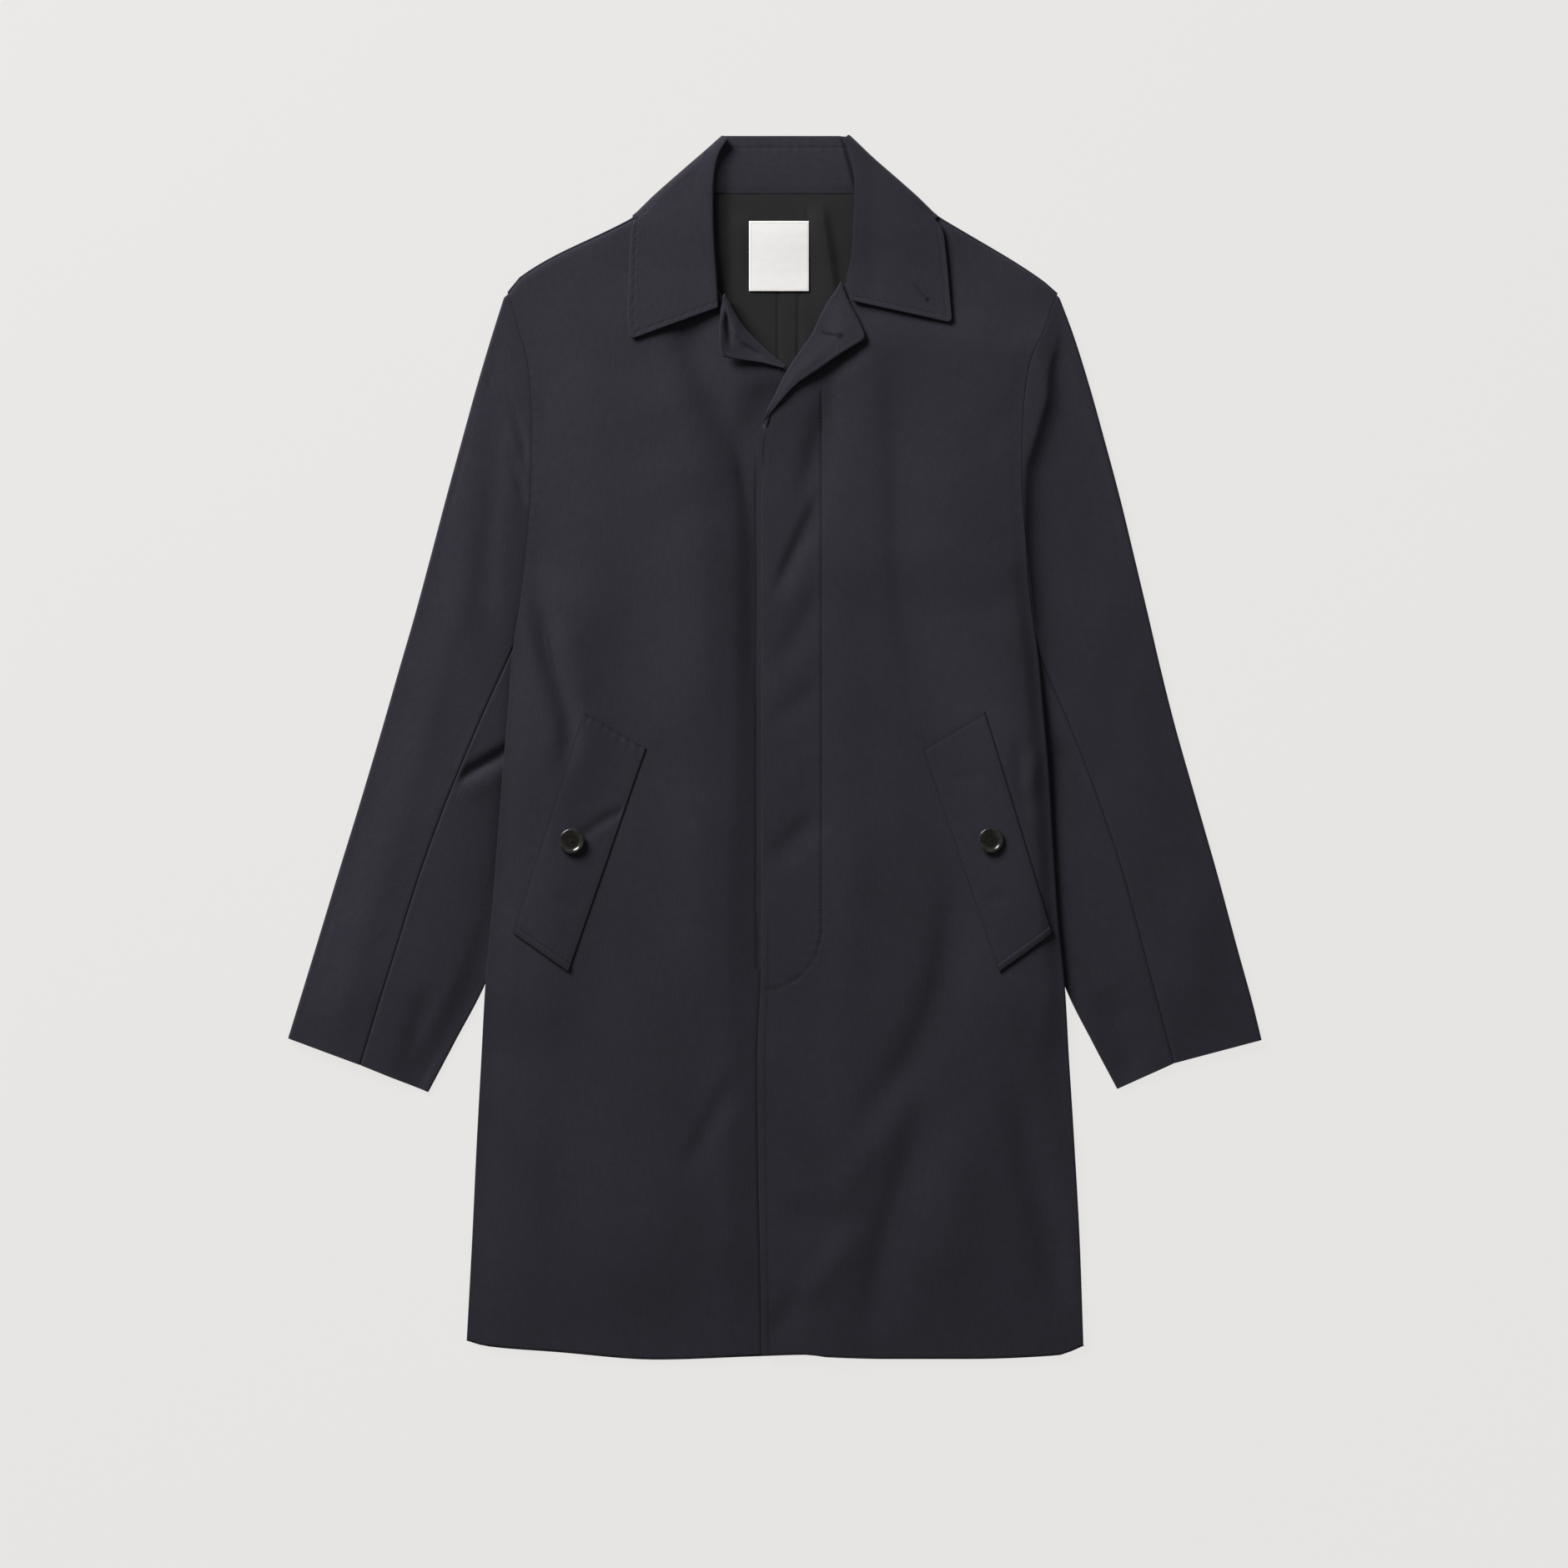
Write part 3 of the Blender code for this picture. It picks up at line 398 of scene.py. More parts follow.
# Row of the body edge, x, y.
RIGHT_INNER = [
    (0.0, -61.0, 476.0), (1.0, -63.5, 442.0), (2.0, -60.0, 408.0), (3.0, -44.6, 379.0), (3.6, -32.4, 356.0),
    (4.2, -13.6, 334.0), (4.8, 7.0, 316.0), (5.6, 26.0, 280.0), (6.6, 32.0, 214.0), (8.0, 32.0, 110.0),
    (10.0, 32.0, -60.0), (12.0, 32.0, -190.0), (16.0, 32.0, -509.5),
]
LEFT_INNER = [
    (0.0, 80.0, 477.0), (1.0, 79.5, 442.0), (2.0, 75.0, 408.0), (2.6, 59.4, 388.6), (3.2, 47.2, 369.6),
    (3.8, 34.8, 343.6), (4.4, 19.8, 320.8), (5.0, 3.4, 293.4), (5.6, -9.0, 267.0), (6.2, -11.2, 232.0),
    (8.0, -11.2, 110.0), (10.0, -11.2, -60.0), (12.0, -11.6, -190.0), (13.0, -14.4, -262.0),
    (16.0, -10.6, -510.5),
]
SHOULDER = [
    (-223.6, 381.0), (-212.8, 394.0), (-121.8, 441.4), (-61.0, 476.0), (-50.0, 464.0),
    (68.0, 464.0), (80.0, 477.0), (141.0, 441.4), (223.6, 391.2), (236.6, 380.0),
]
HEM = [
    (-258.8, -497.5), (-241.5, -502.3), (-182.7, -507.2), (-98.7, -513.5), (-14.7, -510.7), (27.3, -509.5),
    (44.0, -511.6), (94.5, -513.0), (161.7, -513.0), (237.0, -510.0), (259.2, -502.0),
]
LAST_ROW = len(BODY_EDGE) - 1.0
ARMHOLE_ROWS = 7


def edge_points(side, rows):
    """Points on the armhole seam and side edge of one side."""
    k = 0 if side == "right" else 2
    knots = np.arange(len(BODY_EDGE))
    return np.stack([through(knots, column(BODY_EDGE, j), rows) for j in (k, k + 1)], axis=-1)


EDGE_RUNS = {side: edge_points(side, np.linspace(0.0, LAST_ROW, 161)) for side in ("right", "left")}


def edge_x(side, y):
    """The side edge at a height up the coat."""
    return np.interp(y, EDGE_RUNS[side][::-1, 1], EDGE_RUNS[side][::-1, 0])


def inner_points(table, rows):
    """Points on a front's neck and front edge."""
    knots = column(table, 0)
    return np.stack([through(knots, column(table, 1), rows), through(knots, column(table, 2), rows)], axis=-1)


print("body", round(float(edge_x("left", 0.0) - edge_x("right", 0.0))), "mm wide at the middle of its height")

# %% [markdown]
# ## How high the cloth lies
# The coat is two layers of cloth with air between. The sleeves are tucked under the sides, the collar is
# folded under the back of the neck and the left front laps over the right, and each of these lifts what
# lies on it. The height of a front is therefore a sum of a few smooth bumps.

# %% Heights of the body
# Wall of the cloth, space between layers, radius of a rolled edge and the share of it that a seam keeps.
WALL = 1.5
GAP = 0.3
ROLL = 2.8
SEAM_DIP = 0.25
BODY_HEIGHT = 5.6
NECK_MIDDLE = 9.0
FRONT_EDGE = -11.2
AIR = 3.0
BACK_CLEAR = 3.1


def bunch(y):
    """Lift of the sides where the sleeves are bunched under the arms."""
    return 2.8 * np.exp(-(((y + 2.0) / 44.0) ** 2))


def tuck_lift(x, y):
    """Lift of the sides over the sleeves."""
    inside = np.minimum(x - edge_x("right", y), edge_x("left", y) - x)
    along = ease((178.0 - y) / 84.0) * ease((y + 268.0) / 66.0)
    lift = 3.5 + bunch(y) * (ease(-x / 60.0) + 0.8 * ease(x / 60.0))
    return lift * along * (1.0 - ease((inside - 40.0) / 60.0))


def leaf_rise(x, y):
    """Lift of the back over the folded collar."""
    across = 1.0 - ease((np.abs(x - NECK_MIDDLE) - 137.0) / 40.0)
    return 1.9 * ease((y - 392.0) / 46.0) * across


def neck_lift(x, y):
    """Lift of the fronts round the neck."""
    away = np.hypot(x - NECK_MIDDLE, (y - 400.0) / 1.3)
    return 2.1 * (1.0 - ease((away - 80.0) / 60.0))


def fullness(x, y):
    """A little air under the fronts, away from their edges."""
    from_right = ease((x - edge_x("right", y)) / 60.0)
    left_width = 60.0 - 44.0 * ease((300.0 - y) / 80.0) * ease((y + 330.0) / 130.0)
    from_left = ease((edge_x("left", y) - x) / left_width)
    sewn_in = ease((y - 110.0) / 60.0) * (1.0 - ease((y - 330.0) / 50.0)) * ease(x / 60.0)
    from_left = from_left + (1.0 - from_left) * sewn_in
    ends = ease((y + 508.0) / 90.0) * ease((430.0 - y) / 90.0)
    return (AIR + 3.4 * sewn_in) * np.minimum(from_right, from_left) * ends


def roll_drop(inside, radius):
    """How far a rounded edge is below the face, by distance in from the edge."""
    inside = np.minimum(np.maximum(inside, 0.0), radius)
    return radius - np.sqrt(np.maximum(radius**2 - (radius - inside) ** 2, 0.0))


def right_base(x, y):
    """The right front without creases, dipping under the left one."""
    start = -37.0 - 8.0 * ease((40.0 - y) / 220.0)
    under = ease((x - start) / (-8.0 - start)) * (1.0 - ease((y - 286.0) / 30.0))
    depth = (4.0 + 1.8 * ease((y + 300.0) / 300.0)) * (1.0 - 0.55 * ease((-430.0 - y) / 70.0))
    lifts = tuck_lift(x, y) + leaf_rise(x, y) + neck_lift(x, y)
    return BODY_HEIGHT + lifts + np.minimum(fullness(x, y), AIR) - depth * under


def off_the_back(z):
    """Keeps the bottom of a deep crease off the back panel beneath."""
    soft_from = BACK_CLEAR + 1.0
    return np.where(z < soft_from, BACK_CLEAR + np.exp(np.minimum(z, soft_from) - soft_from), z)


def left_base(x, y):
    """The left front without creases, lapped over the right one."""
    fly = ease((250.0 - y) / 60.0) * ease((y + 420.0) / 200.0)
    over = 2.2 * (1.0 - ease((x - 50.0) / 36.0)) + 1.2 * (1.0 - ease((x - FRONT_EDGE) / 50.0)) * fly
    cross = 3.6 * np.exp(-((np.hypot(x - 6.0, y - 308.0) / 38.0) ** 2))
    air = fullness(x, y) * (0.25 + 0.75 * ease((x - 36.0) / 50.0))
    return BODY_HEIGHT + tuck_lift(x, y) + leaf_rise(x, y) + neck_lift(x, y) + air + over + cross


up = [round(float(height), 1) for height in (right_base(-100.0, 0.0), left_base(0.0, 0.0))]
print("fronts", up[0], "and", up[1], "mm up")

# %% [markdown]
# ## Creases
# A crease is a short path with a width on either side and a height, above zero for a ridge and below for a
# trough. Real folds are steeper on one side, so the two widths differ. Placing them one by one from the
# photograph keeps them uneven; a noise texture would repeat the same lump all over. A last faint ripple
# stands for cloth that was folded in a bag.

# %% Creases
def along_path(path, x, y):
    """Distance from a path, which side of it (above zero is left), and the share run along it."""
    spans = np.hypot(*np.diff(path, axis=0).T)
    before = np.concatenate([[0.0], np.cumsum(spans)])
    nearest = np.full(np.shape(x), 1e9)
    side = np.zeros(np.shape(x))
    run = np.zeros(np.shape(x))
    for k, span in enumerate(spans):
        step = (path[k + 1] - path[k]) / span
        t = np.clip((x - path[k, 0]) * step[0] + (y - path[k, 1]) * step[1], 0.0, span)
        dx = x - path[k, 0] - step[0] * t
        dy = y - path[k, 1] - step[1] * t
        away = np.hypot(dx, dy)
        closer = away < nearest
        nearest = np.where(closer, away, nearest)
        side = np.where(closer, step[0] * dy - step[1] * dx, side)
        run = np.where(closer, before[k] + t, run)
    return nearest, side, run / before[-1]


def crease_height(creases, x, y):
    """Sum of a table of creases at points x, y."""
    total = np.zeros(np.shape(x))
    for points, left, right, height in creases:
        away, side, share = along_path(fair_path(points, 9), x, y)
        fade = ease(share / 0.34) * ease((1.0 - share) / 0.34)
        total += height * fade * np.exp(-((away / np.where(side > 0.0, left, right)) ** 2))
    return total


def ripple(x, y):
    """Faint unevenness of cloth at rest."""
    slow = np.sin(x / 37.0 + 0.9 * np.sin(y / 61.0) + 0.4) * np.sin(y / 71.0 + 0.7 * np.sin(x / 53.0) + 1.3)
    quick = np.sin(x / 15.0 + y / 39.0 + 1.2 * np.sin(y / 33.0)) * np.sin(y / 27.0 - x / 61.0 + 0.8)
    return 0.34 * slow + 0.10 * quick


# Path of the crease, width on its left and right, height.
RIGHT_CREASES = [
    ([(-84, 402), (-69, 336), (-48, 288), (-22, 240), (-11, 170)], 20, 16, -6.4),
    ([(-94, 334), (-82, 288), (-68, 246), (-57, 190)], 26, 42, 3.9),
    ([(-27, 260), (-18, 170), (-17, 90), (-18, 0)], 8, 11, -1.5),
    ([(-70, 260), (-62, 130), (-60, -40)], 27, 36, 5.4),
    ([(-58, 50), (-58, -90), (-64, -250)], 26, 30, 2.6),
    ([(-160, 350), (-138, 230), (-118, 100)], 46, 40, 2.0),
    ([(-202, 146), (-190, 86), (-178, 44), (-171, 12), (-175, -14), (-183, -40)], 9, 10, -6.8),
    ([(-188, 110), (-170, 64), (-146, 36)], 18, 14, 1.0),
    ([(-80, -366), (-62, -330), (-42, -292), (-28, -266)], 7, 15, -1.7),
    ([(-56, -344), (-40, -318), (-26, -296)], 8, 8, 0.7),
    ([(-108, -190), (-98, -330), (-100, -500)], 32, 42, 2.4),
    ([(-196, -220), (-182, -330), (-186, -480)], 26, 20, -1.4),
    ([(-92, 4), (-66, -60), (-60, -160)], 18, 24, 1.0),
    ([(-214, 316), (-184, 262), (-150, 236)], 13, 18, -0.8),
    ([(-214, 176), (-186, 150), (-140, 142)], 14, 20, -1.0),
]
LEFT_CREASES = [
    ([(60, 336), (48, 296), (38, 258), (29, 224), (24, 188)], 21, 11, -3.5),
    ([(80, 346), (58, 328), (38, 314), (14, 298)], 12, 12, -2.6),
    ([(98, 366), (103, 250), (104, 157), (126, 6)], 28, 12, -2.2),
    ([(152, -82), (147, -165), (131, -226), (98, -288), (56, -338)], 24, 14, -3.7),
    ([(128, -262), (100, -310), (72, -352), (44, -388)], 13, 15, 1.5),
    ([(134, -284), (112, -350), (97, -398), (86, -450), (78, -506)], 24, 13, -3.5),
    ([(166, -280), (152, -370), (140, -470)], 24, 22, 1.8),
    ([(196, -246), (212, -340), (231, -420), (244, -490)], 15, 15, -3.4),
    ([(-6, -502), (10, -476), (28, -448)], 10, 15, -1.4),
    ([(78, -388), (48, -434), (16, -478)], 12, 11, 1.5),
    ([(-6, -388), (38, -396), (86, -408)], 14, 20, -1.5),
    ([(42, 224), (31, 196), (16, 164), (-3, 120)], 11, 5, -2.8),
    ([(44, 146), (26, 108), (-5, 62)], 13, 8, -1.3),
    ([(44, 56), (14, 34), (-9, 12)], 12, 7, -1.0),
    ([(46, -52), (20, -74), (-8, -104)], 14, 11, -2.1),
    ([(34, 180), (18, 142), (2, 104)], 10, 10, 0.6),
    ([(36, 92), (18, 62), (-2, 36)], 11, 11, 0.5),
    ([(36, 4), (22, -18), (0, -40)], 11, 11, 0.4),
    ([(150, 350), (162, 240), (160, 100)], 42, 40, 1.8),
    ([(182, 200), (193, 110), (201, 20), (208, -60), (217, -150), (224, -240)], 19, 26, 3.2),
    ([(203, 14), (205, -26), (213, -70)], 6, 5, -1.6),
    ([(228, 10), (216, -22), (208, -52)], 7, 6, 1.2),
    ([(222, 322), (190, 268), (154, 246)], 18, 12, -0.7),
    ([(222, 160), (190, 122), (148, 110)], 20, 14, -0.9),
    ([(70, -50), (64, -130), (84, -200)], 18, 16, 1.2),
]


def pucker(run, away):
    """Small gathers beside a seam, by the run along it and the distance from it."""
    return 0.26 * np.sin(run / 1.55 + 1.9 * np.sin(run / 23.0)) * np.exp(-((away / 6.0) ** 2))


print(len(RIGHT_CREASES), "creases on the right front,", len(LEFT_CREASES), "on the left")

# %% [markdown]
# ## Sheets of cloth
# A cloth piece is a grid of points laid over its shape, joined into faces, with a Solidify modifier for the
# thickness. The grid also keeps the cloth's flat coordinates for the weave, the marks of rubbed edges, and
# the painted shade along seams and gaps. A cloth simulation could drop the coat on a table, but its folds
# would fall anywhere; here they belong in set places.

# %% From a grid to a sheet
def placed(name, mesh):
    """A mesh put in the scene as a piece of the coat."""
    piece = bpy.data.objects.new(name, mesh)
    bpy.context.scene.collection.objects.link(piece)
    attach(piece, "root")
    return piece


def sheet_mesh(name, grid, sample, look, wall, edge=0.0, seam=0.0):
    """A sheet through a grid of points, facing up at the sample cell, its wall grown downwards."""
    rows, columns = grid.shape[:2]
    i, j = sample
    turned = np.cross(grid[i + 1, j] - grid[i, j], grid[i, j + 1] - grid[i, j])[2] < 0.0
    a = (np.arange(rows - 1)[:, None] * columns + np.arange(columns - 1)).ravel()
    faces = np.stack([a, a + columns, a + columns + 1, a + 1], axis=-1)
    if turned:
        faces = faces[:, ::-1]
    mesh = bpy.data.meshes.new(name)
    mesh.from_pydata((grid.reshape(-1, 3) * MM).tolist(), [], faces.tolist())
    mesh.polygons.foreach_set("use_smooth", np.ones(len(faces), bool))
    across = np.zeros((rows, columns))
    across[:, 1:] = np.cumsum(np.linalg.norm(np.diff(grid, axis=1), axis=-1), axis=1)
    down = np.zeros((rows, columns))
    down[1:] = np.cumsum(np.linalg.norm(np.diff(grid, axis=0), axis=-1), axis=0)
    down[:] = down.mean(axis=1, keepdims=True)
    flat = np.stack([across.ravel(), down.ravel()], axis=-1) * MM
    mesh.uv_layers.new(name="weave").data.foreach_set("uv", flat[faces.ravel()].ravel())
    # The seam mark stored here is painted shade along seams, gaps and crevices.
    for title, marks in (("edge", edge), ("seam", seam)):
        stored = mesh.attributes.new(title, "FLOAT", "POINT")
        stored.data.foreach_set("value", np.broadcast_to(marks, (rows, columns)).ravel().astype(np.float32))
    mesh.materials.append(look)
    piece = placed(name, mesh)
    thicken = piece.modifiers.new("wall", "SOLIDIFY")
    thicken.thickness = wall * MM
    thicken.offset = -1.0
    thicken.use_rim = True
    return piece


def flat_area(grid):
    """Area of a grid of points, in square metres."""
    cross = np.cross(grid[1:, 1:] - grid[:-1, :-1], grid[1:, :-1] - grid[:-1, 1:])
    return float(np.linalg.norm(cross, axis=-1).sum() / 2.0 * MM * MM)


def worn(inside, reach=1.6):
    """The rubbed mark, strongest on the edge itself."""
    return np.exp(-np.abs(inside) / reach)


def seam_shade_line(away, reach=0.8):
    """The painted shade of a seam line, darkest on the line and fading with distance from it."""
    return np.exp(-((away / reach) ** 2))


def spread(first, last, count):
    """Evenly spaced numbers after the first."""
    return [first + (last - first) * (k + 1) / count for k in range(count)]


print("sheet helpers ready")

# %% [markdown]
# ## The two fronts
# Each front runs from the shoulder to the hem, and from the side edge to the neck and front edge. Its rows
# of points follow the side seam, so they fan out over the chest as the cloth does. On the left front the
# fly is held by one row of stitches that ends in a hook; points lie closer together there, so the row can
# sink into the cloth.

# %% Rows of a front
ROW_STEP = 3.3
FLY_STITCH = 39.2
hook_turn = np.radians(np.arange(0.0, 91.0, 6.0))
FLY_HOOK = [(-8.4 + 47.6 * math.cos(a), -151.6 - 51.1 * math.sin(a)) for a in hook_turn]
FLY_LINE = np.array([(FLY_STITCH, 300.0 - 12.0 * k) for k in range(38)] + FLY_HOOK)


def body_rows(close_low, close_high):
    """Row numbers about one step apart, closer between two heights and at both ends."""
    fine = np.linspace(0.0, LAST_ROW, 3201)
    height = EDGE_RUNS["right"]
    y = np.interp(fine, np.linspace(0.0, LAST_ROW, len(height)), height[:, 1])
    step = np.where((y > close_low) & (y < close_high), 1.5, ROW_STEP)
    step = np.minimum(step, 0.35 + 0.3 * (y - y[-1]))
    run = np.concatenate([[0.0], np.cumsum(-np.diff(y) / step[1:])])
    rows = np.interp(np.linspace(0.0, run[-1], int(run[-1]) + 1), run, fine)
    return np.concatenate([[0.0, 0.001, 0.008, 0.022, 0.042], rows[1:]])


def shape_ends(points, rows):
    """Moves a panel's first rows onto the shoulder line and its last rows onto the hem."""
    crown = through(column(SHOULDER, 0), column(SHOULDER, 1), points[0][:, 0])
    hem = through(column(HEM, 0), column(HEM, 1), points[-1][:, 0])
    rise = crown - points[0][:, 1]
    drop = hem - points[-1][:, 1]
    points[:, :, 1] += rise * (1.0 - ease(rows / 5.0))[:, None]
    points[:, :, 1] += drop * ease((rows - 12.0) / 4.0)[:, None]
    return points


def edge_drop(points, depth):
    """How far a panel's side, shoulder and hem roll down."""
    x, y = points[..., 0], points[..., 1]
    below = np.hypot(*(points - points[0]).transpose(2, 0, 1)) * 0.9
    above = np.hypot(*(points - points[-1]).transpose(2, 0, 1))
    free = ease((170.0 - y) / 60.0)
    soft = 1.3 * (1.0 - ease(depth / 24.0)) * ease(-x / 20.0) * free
    radius = np.where(x < 0.0, 0.5, 1.8)
    side = roll_drop(np.minimum(depth, radius), radius) * (SEAM_DIP + (1.0 - SEAM_DIP) * free) + soft
    shoulder = roll_drop(below, ROLL) * ease((np.abs(x - NECK_MIDDLE) - 74.0) / 24.0)
    return np.maximum(np.maximum(side, shoulder), roll_drop(above, 1.4)), above


print(len(body_rows(-210.0, -140.0)), "rows,", len(FLY_LINE), "points on the fly's stitch line")

# %% The right front, on the left of the picture
# Steps in from the side, x of the fly strip's edge, and closer steps where the left front laps over.
SIDE_STEPS = [0.0, 0.1, 0.4, 0.9, 1.7, ROLL, 4.4, 6.6]
FLY_EDGE = -15.2
NEAR_LAP = [49.6, 48.6, 47.8, 47.0, 46.2, 45.2, 44.0]
rows = body_rows(0.0, 0.0)
outer = edge_points("right", rows)
inner = inner_points(RIGHT_INNER, rows)
width = np.hypot(*(inner - outer).T)
depth = []
for w, tip, far in zip(width, inner, outer):
    slant = w / (tip[0] - far[0])
    near_lap = [w - d * slant for d in NEAR_LAP]
    depth.append(SIDE_STEPS + spread(6.6, w - 51.0 * slant, 62) + near_lap + spread(near_lap[-1], w, 12))
depth = np.array(depth)
points = shape_ends(outer[:, None] + (inner - outer)[:, None] * (depth / width[:, None])[..., None], rows)
x, y = points[..., 0], points[..., 1]
drop, above_hem = edge_drop(points, depth)
shown = ease(depth / 16.0)
z = right_base(x, y) + (crease_height(RIGHT_CREASES, x, y) + ripple(x, y)) * shown - drop
z = z + pucker(y, depth) * ease(depth / 2.0) * ease((y - 90.0) / 30.0) * ease((370.0 - y) / 30.0)
z = z + (off_the_back(z) - z) * ease(depth / 30.0) * ease((390.0 - y) / 40.0)
right_front_grid = np.stack([x, y, z], axis=-1)
lap_line = inner_points(LEFT_INNER, np.linspace(6.0, LAST_ROW, 80))[::-1]
lap = np.interp(y, lap_line[:, 1], lap_line[:, 0])
lap = np.where(y > -188.0, np.minimum(lap, FLY_EDGE), lap)
# Painted shade: a dark band beside the lapped front edge and the fly strip's edge, and a faint line along the
# armhole.
lap_shadow = 0.75 * seam_shade_line(x - lap + 0.9, 1.7) * ease((252.0 - y) / 30.0)
seam_shade = np.maximum(0.2 * seam_shade_line(depth) * ease((y - 60.0) / 30.0), lap_shadow)
right_front = sheet_mesh("right_front", right_front_grid, (150, 40), navy, WALL, worn(above_hem), seam_shade)
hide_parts("front_right")
print("right front", right_front_grid.shape[:2], "points, area", round(flat_area(right_front_grid), 4))

# %% The left front, with the fly
rows = body_rows(-208.0, -146.0)
outer = edge_points("left", rows)
inner = inner_points(LEFT_INNER, rows)
width = np.hypot(*(inner - outer).T)
near_edge = [0.0, 0.06, 0.25, 0.5, 0.8, 1.8, 3.6, 5.4, 7.4] + spread(7.4, 46.4, 26)
near_stitch = [47.6, 48.6, 49.4, 50.0, 50.4, 50.8, 51.4, 52.2, 53.4, 55.0, 57.0]
from_edge = []
for w, tip, far in zip(width, inner, outer):
    pull = max((FLY_STITCH - tip[0]) / 50.4 * w / (far[0] - tip[0]), 0.5)
    start = [d * pull for d in near_edge + near_stitch]
    from_edge.append(start + spread(start[-1], w - 6.6, 56) + [w - d for d in SIDE_STEPS[-2::-1]])
from_edge = np.array(from_edge)
depth = width[:, None] - from_edge
points = shape_ends(inner[:, None] + (outer - inner)[:, None] * (from_edge / width[:, None])[..., None], rows)
x, y = points[..., 0], points[..., 1]
drop, above_hem = edge_drop(points, depth)
drop = np.maximum(drop, roll_drop(from_edge, 0.4) * 0.9)
away = along_path(FLY_LINE, x, y)[0]
beside = 1.0 - ease((x - FLY_STITCH + 3.0) / 6.0)
behind = beside * (1.0 - ease((-150.0 - y) / 50.0)) * ease((300.0 - y) / 30.0)
fly = 0.35 * behind - 0.5 * np.exp(-((away / 1.15) ** 2))
shown = ease(depth / 16.0) * ease(from_edge / 6.0)
z = left_base(x, y) + (crease_height(LEFT_CREASES, x, y) + ripple(x, y)) * shown + fly - drop
z = z + pucker(y + 11.0, depth) * ease(depth / 2.0) * ease((y - 90.0) / 30.0) * ease((370.0 - y) / 30.0)
z = z + 0.5 * pucker(y, away) * ease((290.0 - y) / 30.0)
left_front_grid = np.stack([x, y, z], axis=-1)
rubbed = np.maximum(0.4 * worn(from_edge), worn(above_hem))
# Painted shade: dark lines along the armhole, in the gap between the front edge and the strip near the top,
# 5.4 mm in from the front edge low down, and in the groove of the fly's stitching.
armhole_shade = (0.2 + 0.5 * ease((250.0 - y) / 50.0)) * seam_shade_line(depth) * ease((y - 60.0) / 30.0)
gape = 0.9 * seam_shade_line(from_edge - 0.4, 1.4) * ease((267.0 - y) / 8.0) * ease((y - 230.0) / 10.0)
turned_in = 0.4 * seam_shade_line(from_edge - 5.4, 0.9) * ease((-120.0 - y) / 60.0)
fly_groove_shade = (0.38 - 0.16 * ease((y - 60.0) / 80.0)) * seam_shade_line(away) * ease((296.0 - y) / 20.0)
seam_shade = np.maximum.reduce([armhole_shade, gape, turned_in, fly_groove_shade])
left_front = sheet_mesh("left_front", left_front_grid, (150, 60), navy, WALL, rubbed, seam_shade)
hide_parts("front_left")
print("left front", left_front_grid.shape[:2], "points, area", round(flat_area(left_front_grid), 4))

# %% [markdown]
# ## The back and the fly strip
# The back lies on the table under everything and shows only at its edges, so its grid is coarser. The strip
# that carries the hidden buttonholes lies behind the left front edge, a few millimetres proud of it.

# %% Back panel
rows = body_rows(0.0, 0.0)[::2]
rows = np.unique(np.concatenate([rows, [0.001, 0.022, LAST_ROW - 0.01, LAST_ROW]]))
low_roll = ROLL - GAP
right_edge, left_edge = edge_points("right", rows), edge_points("left", rows)
width = np.hypot(*(left_edge - right_edge).T)
steps = [0.0, 0.1, 0.7, 1.5, low_roll]
inside = []
for w in width:
    inside.append(steps + spread(low_roll, w - low_roll, 60)[:-1] + [w - s for s in steps[::-1]])
inside = np.array(inside)
points = right_edge[:, None] + (left_edge - right_edge)[:, None] * (inside / width[:, None])[..., None]
points = shape_ends(points, rows)
x, y = points[..., 0], points[..., 1]
depth = np.minimum(inside, width[:, None] - inside)
below = np.hypot(*(points - points[0]).transpose(2, 0, 1)) * 0.9
rise = roll_drop(depth, low_roll) * SEAM_DIP * (1.0 - ease((170.0 - y) / 60.0))
rise = np.maximum(rise, 0.8 * roll_drop(below, low_roll) * ease((np.abs(x - NECK_MIDDLE) - 74.0) / 24.0))
hem_rise = roll_drop(np.hypot(*(points - points[-1]).transpose(2, 0, 1)), 1.2)
z = tuck_lift(x, y) + leaf_rise(x, y) + np.maximum(rise, hem_rise) + WALL
back_grid = np.stack([x, y, z], axis=-1)
# The back is drawn in the darkened navy, painted shade for a panel that lies beneath the rest.
back_panel = sheet_mesh("back_panel", back_grid, (60, 30), navy_shaded, WALL, 0.3 * worn(depth))
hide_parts("back")
print("back", back_grid.shape[:2], "points, area", round(flat_area(back_grid), 4))

# %% Fly strip
STRIP_WIDTH = 53.0
STRIP_WALL = 1.2
rows = np.linspace(273.0, -194.0, 144)
across = np.concatenate([[0.0, 0.05, 0.2, 0.4, 0.7, 2.0, 4.0], np.linspace(6.0, STRIP_WIDTH, 12)])
far = (STRIP_WIDTH - 26.0 * ease((-120.0 - rows) / 74.0)) / STRIP_WIDTH
x = FLY_EDGE + across[None, :] * far[:, None] + 0.25 * np.sin(rows / 17.0)[:, None] * ease(1.0 - across / 8.0)
x = x + (9.0 * ease((-120.0 - rows) / 60.0) * (1.0 - far) / 0.5)[:, None] * ease(1.0 - across / 20.0)
x = x + 7.0 * (ease((rows - 259.0) / 14.0) ** 2)[:, None] * ease(1.0 - across / 20.0)
y = np.repeat(rows[:, None], len(across), axis=1)
crease = crease_height(RIGHT_CREASES, x, y) + ripple(x, y)
z = off_the_back(right_base(x, y) + crease) + GAP + STRIP_WALL - 0.5 * roll_drop(across, 0.7)[None, :]
fly_grid = np.stack([x, y, z], axis=-1)
rubbed = 0.2 * worn(across)[None, :]
